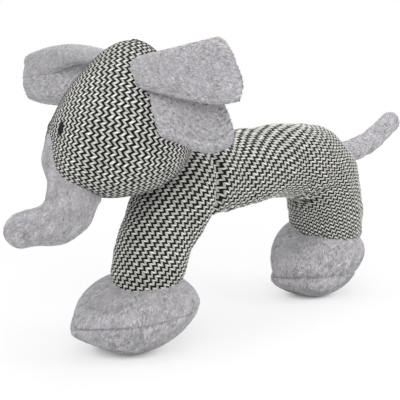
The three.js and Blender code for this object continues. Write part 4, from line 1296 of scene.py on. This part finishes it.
def add_bump(tree, shader, height, distance, strength):
    """Fine relief from a height, fed to the shader's normal."""
    bump = tree.nodes.new("ShaderNodeBump")
    bump.inputs["Distance"].default_value = distance
    bump.inputs["Strength"].default_value = strength
    link(tree, height, bump.inputs["Height"])
    link(tree, bump.outputs["Normal"], shader.inputs["Normal"])


def woven_material(weave):
    """Herringbone cloth read from the weave places of each piece, made once."""
    if "Herringbone cloth" in bpy.data.materials:
        return bpy.data.materials["Herringbone cloth"]
    material, tree, shader = new_material("Herringbone cloth", 0.9)
    group = tree.nodes.new("ShaderNodeGroup")
    group.node_tree = herringbone_group()
    split = tree.nodes.new("ShaderNodeSeparateXYZ")
    link(tree, attribute(tree, "weave")["Vector"], split.inputs[0])
    for output, label in zip(split.outputs, ("Across", "Along", "Swing")):
        link(tree, output, group.inputs[label])
    group.inputs["Light share"].default_value = weave.light_share
    group.inputs["Light"].default_value = (*weave.light, 1)
    group.inputs["Dark"].default_value = (*weave.dark, 1)
    link(tree, group.outputs["Colour"], shader.inputs["Base Color"])
    add_bump(tree, shader, group.outputs["Height"], 0.0002, 0.6)
    shader.inputs["Specular IOR Level"].default_value = 0.2
    shader.inputs["Sheen Weight"].default_value = 0.08
    return material


def plush_material(pile):
    """Short grey plush, made once."""
    if "Grey plush" in bpy.data.materials:
        return bpy.data.materials["Grey plush"]
    material, tree, shader = new_material("Grey plush", 0.85)
    group = tree.nodes.new("ShaderNodeGroup")
    group.node_tree = pile_group()
    group.inputs["Colour"].default_value = (*pile.colour, 1)
    group.inputs["Root shade"].default_value = pile.root_shade
    link(tree, attribute(tree, "tip")["Fac"], group.inputs["Tip"])
    link(tree, attribute(tree, "tone")["Fac"], group.inputs["Tone"])
    link(tree, attribute(tree, "grain")["Vector"], group.inputs["Grain"])
    link(tree, group.outputs["Colour"], shader.inputs["Base Color"])
    add_bump(tree, shader, group.outputs["Height"], 0.0008, 0.6)
    shader.inputs["Specular IOR Level"].default_value = 0.2
    shader.inputs["Sheen Weight"].default_value = 0.25
    shader.inputs["Sheen Roughness"].default_value = 0.5
    return material


def thread_material(weave):
    """Black embroidery thread with fine changes of tone and relief."""
    material, tree, shader = new_material("Black thread", 0.8)
    tint = mixed(tree, noise(tree, 2500, 2), tuple(weave.thread), tuple(3.2 * c for c in weave.thread))
    link(tree, tint, shader.inputs["Base Color"])
    add_bump(tree, shader, noise(tree, 3500, 2), 0.0001, 0.4)
    shader.inputs["Specular IOR Level"].default_value = 0.1
    return material


def plastic_material():
    """Milky blown plastic of the squeaker."""
    material, tree, shader = new_material("Squeaker plastic", 0.42)
    tint = mixed(tree, noise(tree, 160, 3), (0.78, 0.77, 0.72), (0.70, 0.69, 0.64))
    link(tree, tint, shader.inputs["Base Color"])
    add_bump(tree, shader, noise(tree, 500, 2), 0.0001, 0.2)
    return material


def floor_material(stage):
    """Pale floor that the camera sees fade to white with distance, but not close under the toy."""
    material, tree, shader = new_material("Pale floor", 0.9)
    shader.inputs["Specular IOR Level"].default_value = 0.1
    paler = tuple(1.02 * c for c in stage.backdrop)
    link(tree, mixed(tree, noise(tree, 6, 2), tuple(stage.backdrop), paler), shader.inputs["Base Color"])
    glow = tree.nodes.new("ShaderNodeEmission")
    path = tree.nodes.new("ShaderNodeLightPath")
    reach = tree.nodes.new("ShaderNodeVectorMath")
    reach.operation = "LENGTH"
    link(tree, tree.nodes.new("ShaderNodeTexCoord").outputs["Object"], reach.inputs[0])
    fade = tree.nodes.new("ShaderNodeMapRange")
    fade.interpolation_type = "SMOOTHSTEP"
    fade.inputs["From Min"].default_value = stage.floor_near
    fade.inputs["From Max"].default_value = stage.floor_far
    fade.inputs["To Min"].default_value = stage.floor_glow
    link(tree, reach.outputs["Value"], fade.inputs["Value"])
    contact = tree.nodes.new("ShaderNodeAmbientOcclusion")
    contact.inputs["Distance"].default_value = stage.contact
    open_share = maths(tree, "MULTIPLY", contact.outputs["AO"], stage.contact_ease)
    amount = maths(tree, "MULTIPLY", fade.outputs["Result"], path.outputs["Is Camera Ray"])
    amount = maths(tree, "MULTIPLY", amount, maths(tree, "MINIMUM", open_share, 1))
    surface = tree.nodes["Material Output"].inputs["Surface"]
    choose(tree, amount, shader.outputs[0], glow.outputs[0], surface)
    return material


def choose(tree, amount, first, second, target):
    """Mix of two shaders by an amount, fed to the target."""
    node = tree.nodes.new("ShaderNodeMixShader")
    for source, socket in zip((amount, first, second), node.inputs):
        link(tree, source, socket)
    link(tree, node.outputs[0], target)


# Stage


def aimed(direction):
    """Turn that points a camera or a light along a direction."""
    return Vector(direction).to_track_quat("-Z", "Y").to_euler()


def set_camera(scene, stage):
    """Camera at its place and heading, looking down by its pitch."""
    look = np.array([np.cos(stage.camera_azimuth), np.sin(stage.camera_azimuth), 0])
    look = look * np.cos(stage.camera_pitch) - UP * np.sin(stage.camera_pitch)
    data = bpy.data.cameras.new("camera")
    data.lens, data.sensor_width = stage.camera_lens, 36
    data.clip_start, data.clip_end = 0.01, 20
    camera = bpy.data.objects.new("camera", data)
    camera.location = shift() + np.array([stage.camera_along, stage.camera_across, stage.camera_up])
    camera.rotation_euler = aimed(look)
    scene.collection.objects.link(camera)
    scene.camera = camera


def set_lights(scene, stage):
    """Four soft round lights, all aimed at the middle of the toy."""
    target = 0.08 * UP
    # Name, place, width and power of each light
    for name, at, size, power in (
        ("overhead", (0.05, 0.05, 0.80), 0.9, stage.key),
        ("left", (-0.70, 0.30, 0.40), 0.6, stage.side * 0.5),
        ("right", (0.45, -0.65, 0.40), 0.6, stage.side),
        ("front", (-0.60, -0.55, 0.60), 0.7, stage.fill),
    ):
        lamp = bpy.data.lights.new(name, "AREA")
        lamp.shape, lamp.size, lamp.energy = "DISK", size, power
        light = bpy.data.objects.new(name, lamp)
        light.location = at
        light.rotation_euler = aimed(target - at)
        scene.collection.objects.link(light)


def set_world(scene, stage):
    """White surroundings that light the toy softly and look white to the camera."""
    world = bpy.data.worlds.new("studio")
    scene.world = world
    world.use_nodes = True
    tree = world.node_tree
    lit, seen = tree.nodes["Background"], tree.nodes.new("ShaderNodeBackground")
    for background in (lit, seen):
        background.inputs["Color"].default_value = (1, 1, 1, 1)
    lit.inputs["Strength"].default_value = stage.ambient
    path = tree.nodes.new("ShaderNodeLightPath")
    surface = tree.nodes["World Output"].inputs["Surface"]
    choose(tree, path.outputs["Is Camera Ray"], lit.outputs[0], seen.outputs[0], surface)


# Operators


class CoverArch(bpy.types.Operator):
    """Makes the cloth of the body and both legs"""

    bl_idname = "toy.cover_arch"
    bl_label = "Cover body and legs"

    def execute(self, context):
        body, weave = context.scene.toy_body, context.scene.toy_weave
        points, cloth, share = arch_grid(body, weave)
        relief = yarn_relief(cloth, weave)
        first = int(np.searchsorted(share, body.front_seam))
        last = int(np.searchsorted(share, body.hind_seam))
        material = woven_material(weave)
        for name, start, stop, nodes in (
            ("front_leg_cloth", 0, first + 1, ("front_leg_cover", "front_leg_filling")),
            ("body_cloth", first, last + 1, ("body_cover", "body_filling")),
            ("hind_leg_cloth", last, len(points), ("hind_leg_cover", "hind_leg_filling")),
        ):
            part = slice(start, stop)
            piece = closed_cloth(name, points[part], cloth[part], relief[part], material)
            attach(piece, "toy")
            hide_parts(*nodes)
        return {"FINISHED"}


class CoverHead(bpy.types.Operator):
    """Makes the cloth of the head"""

    bl_idname = "toy.cover_head"
    bl_label = "Cover head"

    def execute(self, context):
        scene = context.scene
        weave = scene.toy_weave
        points, cloth, seam = head_grid(scene.toy_head, scene.toy_body, weave)
        relief = yarn_relief(cloth, weave) - HEAD_SEAM_DEPTH * seam
        piece = closed_cloth("head_cloth", points, cloth, relief, woven_material(weave))
        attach(piece, "toy")
        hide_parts("head_cover", "head_filling")
        return {"FINISHED"}


class AddTrunk(bpy.types.Operator):
    """Makes the plush trunk"""

    bl_idname = "toy.add_trunk"
    bl_label = "Add trunk"

    def execute(self, context):
        scene = context.scene
        pile = scene.toy_pile
        points = trunk_grid(scene.toy_head)
        comb = unit(np.gradient(points, axis=0)) - TRUNK_HANG * UP
        piece = plush_piece(
            "trunk_plush", points, comb, pile, pile.trunk_locks, pile.ear_length,
            lift=0.16, seed=51, grain=TRUNK_GRAIN,
        )
        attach(piece, "toy")
        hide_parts("trunk_cover", "trunk_filling")
        return {"FINISHED"}


class AddFeet(bpy.types.Operator):
    """Makes both plush feet"""

    bl_idname = "toy.add_feet"
    bl_label = "Add feet"

    def execute(self, context):
        scene = context.scene
        foot, pile = scene.toy_foot, scene.toy_pile
        for end, seed in (("front", 61), ("hind", 71)):
            name = f"{end}_foot"
            points, climb = foot_grid(foot, end)
            comb = -unit(np.gradient(points, axis=0))
            # Where the pile is left off, the bare skin shows the painted shade of the pile's foot, so the
            # seam reads as a dark line
            bare = hump(climb, 0, FOOT_SEAM_BARE) + (climb < FOOT_BARE_UNDER) + (climb > FOOT_BARE_TOP)
            piece = plush_piece(
                f"{name}_plush", points, comb, pile, pile.foot_locks, pile.foot_length,
                lift=0.10, seed=seed, grain=FOOT_GRAIN, bare=np.clip(bare, 0, 1),
            )
            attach(piece, "toy")
            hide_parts(f"{name}_upper", f"{name}_sole", f"{name}_filling")
        return {"FINISHED"}


class AddEars(bpy.types.Operator):
    """Makes both folded plush ears"""

    bl_idname = "toy.add_ears"
    bl_label = "Add ears"

    def execute(self, context):
        scene = context.scene
        head, ear, pile = scene.toy_head, scene.toy_ear, scene.toy_pile
        for name, side, seed in (("left_ear", -1, 81), ("right_ear", 1, 91)):
            sheet = ear_sheet(head, ear, name.removesuffix("_ear"), side)
            piece = ear_piece(name, *ear_panels(ear, sheet), pile, seed)
            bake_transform(piece)
            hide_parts(f"{name}_front", f"{name}_back")
        return {"FINISHED"}


class AddTail(bpy.types.Operator):
    """Makes the plush tail"""

    bl_idname = "toy.add_tail"
    bl_label = "Add tail"

    def execute(self, context):
        scene = context.scene
        tail, pile = scene.toy_tail, scene.toy_pile
        stations = [tuple(s) for s in (tail.root, tail.middle, tail.tip)]
        points = waved(domed_tube(stations, 110, 80), *TAIL_WAVES)
        comb = unit(np.gradient(points, axis=0))
        piece = plush_piece(
            "tail_plush", points, comb, pile, pile.tail_locks, pile.ear_length,
            lift=0.16, seed=55, grain=EAR_GRAIN,
        )
        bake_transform(piece)
        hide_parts("tail_cover", "tail_filling")
        return {"FINISHED"}


class StitchEyes(bpy.types.Operator):
    """Stitches the two eyes"""

    bl_idname = "toy.stitch_eyes"
    bl_label = "Stitch eyes"

    def execute(self, context):
        scene = context.scene
        head = scene.toy_head
        material = thread_material(scene.toy_weave)
        for name, side in (("left_eye", -1), ("right_eye", 1)):
            points = eye_grid(head, name, side)
            faces, places = closed_faces(*points.shape[:2])
            piece = add_piece(f"{name}_stitching", with_poles(points), faces, places, material)
            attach(piece, "toy")
            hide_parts(name)
        return {"FINISHED"}


class FinishSqueaker(bpy.types.Operator):
    """Gives the squeaker inside the body its plastic"""

    bl_idname = "toy.finish_squeaker"
    bl_label = "Finish squeaker"

    def execute(self, context):
        material = plastic_material()
        for name in ("squeaker_bulb", "squeaker_reed"):
            node = frame["nodes"][name]
            node.data.materials.clear()
            node.data.materials.append(material)
        return {"FINISHED"}


class SetStage(bpy.types.Operator):
    """Sets the pale floor, the soft lights and the camera"""

    bl_idname = "toy.set_stage"
    bl_label = "Set stage"

    def execute(self, context):
        scene = context.scene
        stage = scene.toy_stage
        bpy.ops.mesh.primitive_plane_add(size=8, location=(0, 0, 0))
        floor = context.object
        floor.name = "floor"
        floor.data.materials.append(floor_material(stage))
        set_camera(scene, stage)
        set_lights(scene, stage)
        set_world(scene, stage)
        scene.view_settings.view_transform = "Standard"
        return {"FINISHED"}


class ElephantPanel(bpy.types.Panel):
    """Sizes and colours of the stuffed elephant"""

    bl_idname = "VIEW3D_PT_elephant"
    bl_label = "Stuffed elephant"
    bl_space_type = "VIEW_3D"
    bl_region_type = "UI"
    bl_category = "Elephant"

    def draw(self, context):
        for operator in OPERATORS:
            self.layout.operator(operator.bl_idname)
        for key, group in GROUPS.items():
            box = self.layout.box()
            box.label(text=key.removeprefix("toy_").capitalize())
            for name in group.__annotations__:
                box.prop(getattr(context.scene, key), name)


GROUPS = {
    "toy_body": BodySettings,
    "toy_head": HeadSettings,
    "toy_ear": EarSettings,
    "toy_foot": FootSettings,
    "toy_tail": TailSettings,
    "toy_weave": WeaveSettings,
    "toy_pile": PileSettings,
    "toy_stage": StageSettings,
}
OPERATORS = (
    CoverArch, CoverHead, AddTrunk, AddFeet, AddEars, AddTail, StitchEyes, FinishSqueaker, SetStage,
)


def register():
    for key, group in GROUPS.items():
        bpy.utils.register_class(group)
        setattr(bpy.types.Scene, key, bpy.props.PointerProperty(type=group))
    for item in (*OPERATORS, ElephantPanel):
        bpy.utils.register_class(item)


def unregister():
    for item in (ElephantPanel, *reversed(OPERATORS)):
        bpy.utils.unregister_class(item)
    for key, group in GROUPS.items():
        delattr(bpy.types.Scene, key)
        bpy.utils.unregister_class(group)


def main():
    register()
    bpy.ops.toy.cover_arch()
    bpy.ops.toy.cover_head()
    bpy.ops.toy.add_trunk()
    bpy.ops.toy.add_feet()
    bpy.ops.toy.add_ears()
    bpy.ops.toy.add_tail()
    bpy.ops.toy.stitch_eyes()
    bpy.ops.toy.finish_squeaker()
    bpy.ops.toy.set_stage()


if __name__ == "__main__":
    main()
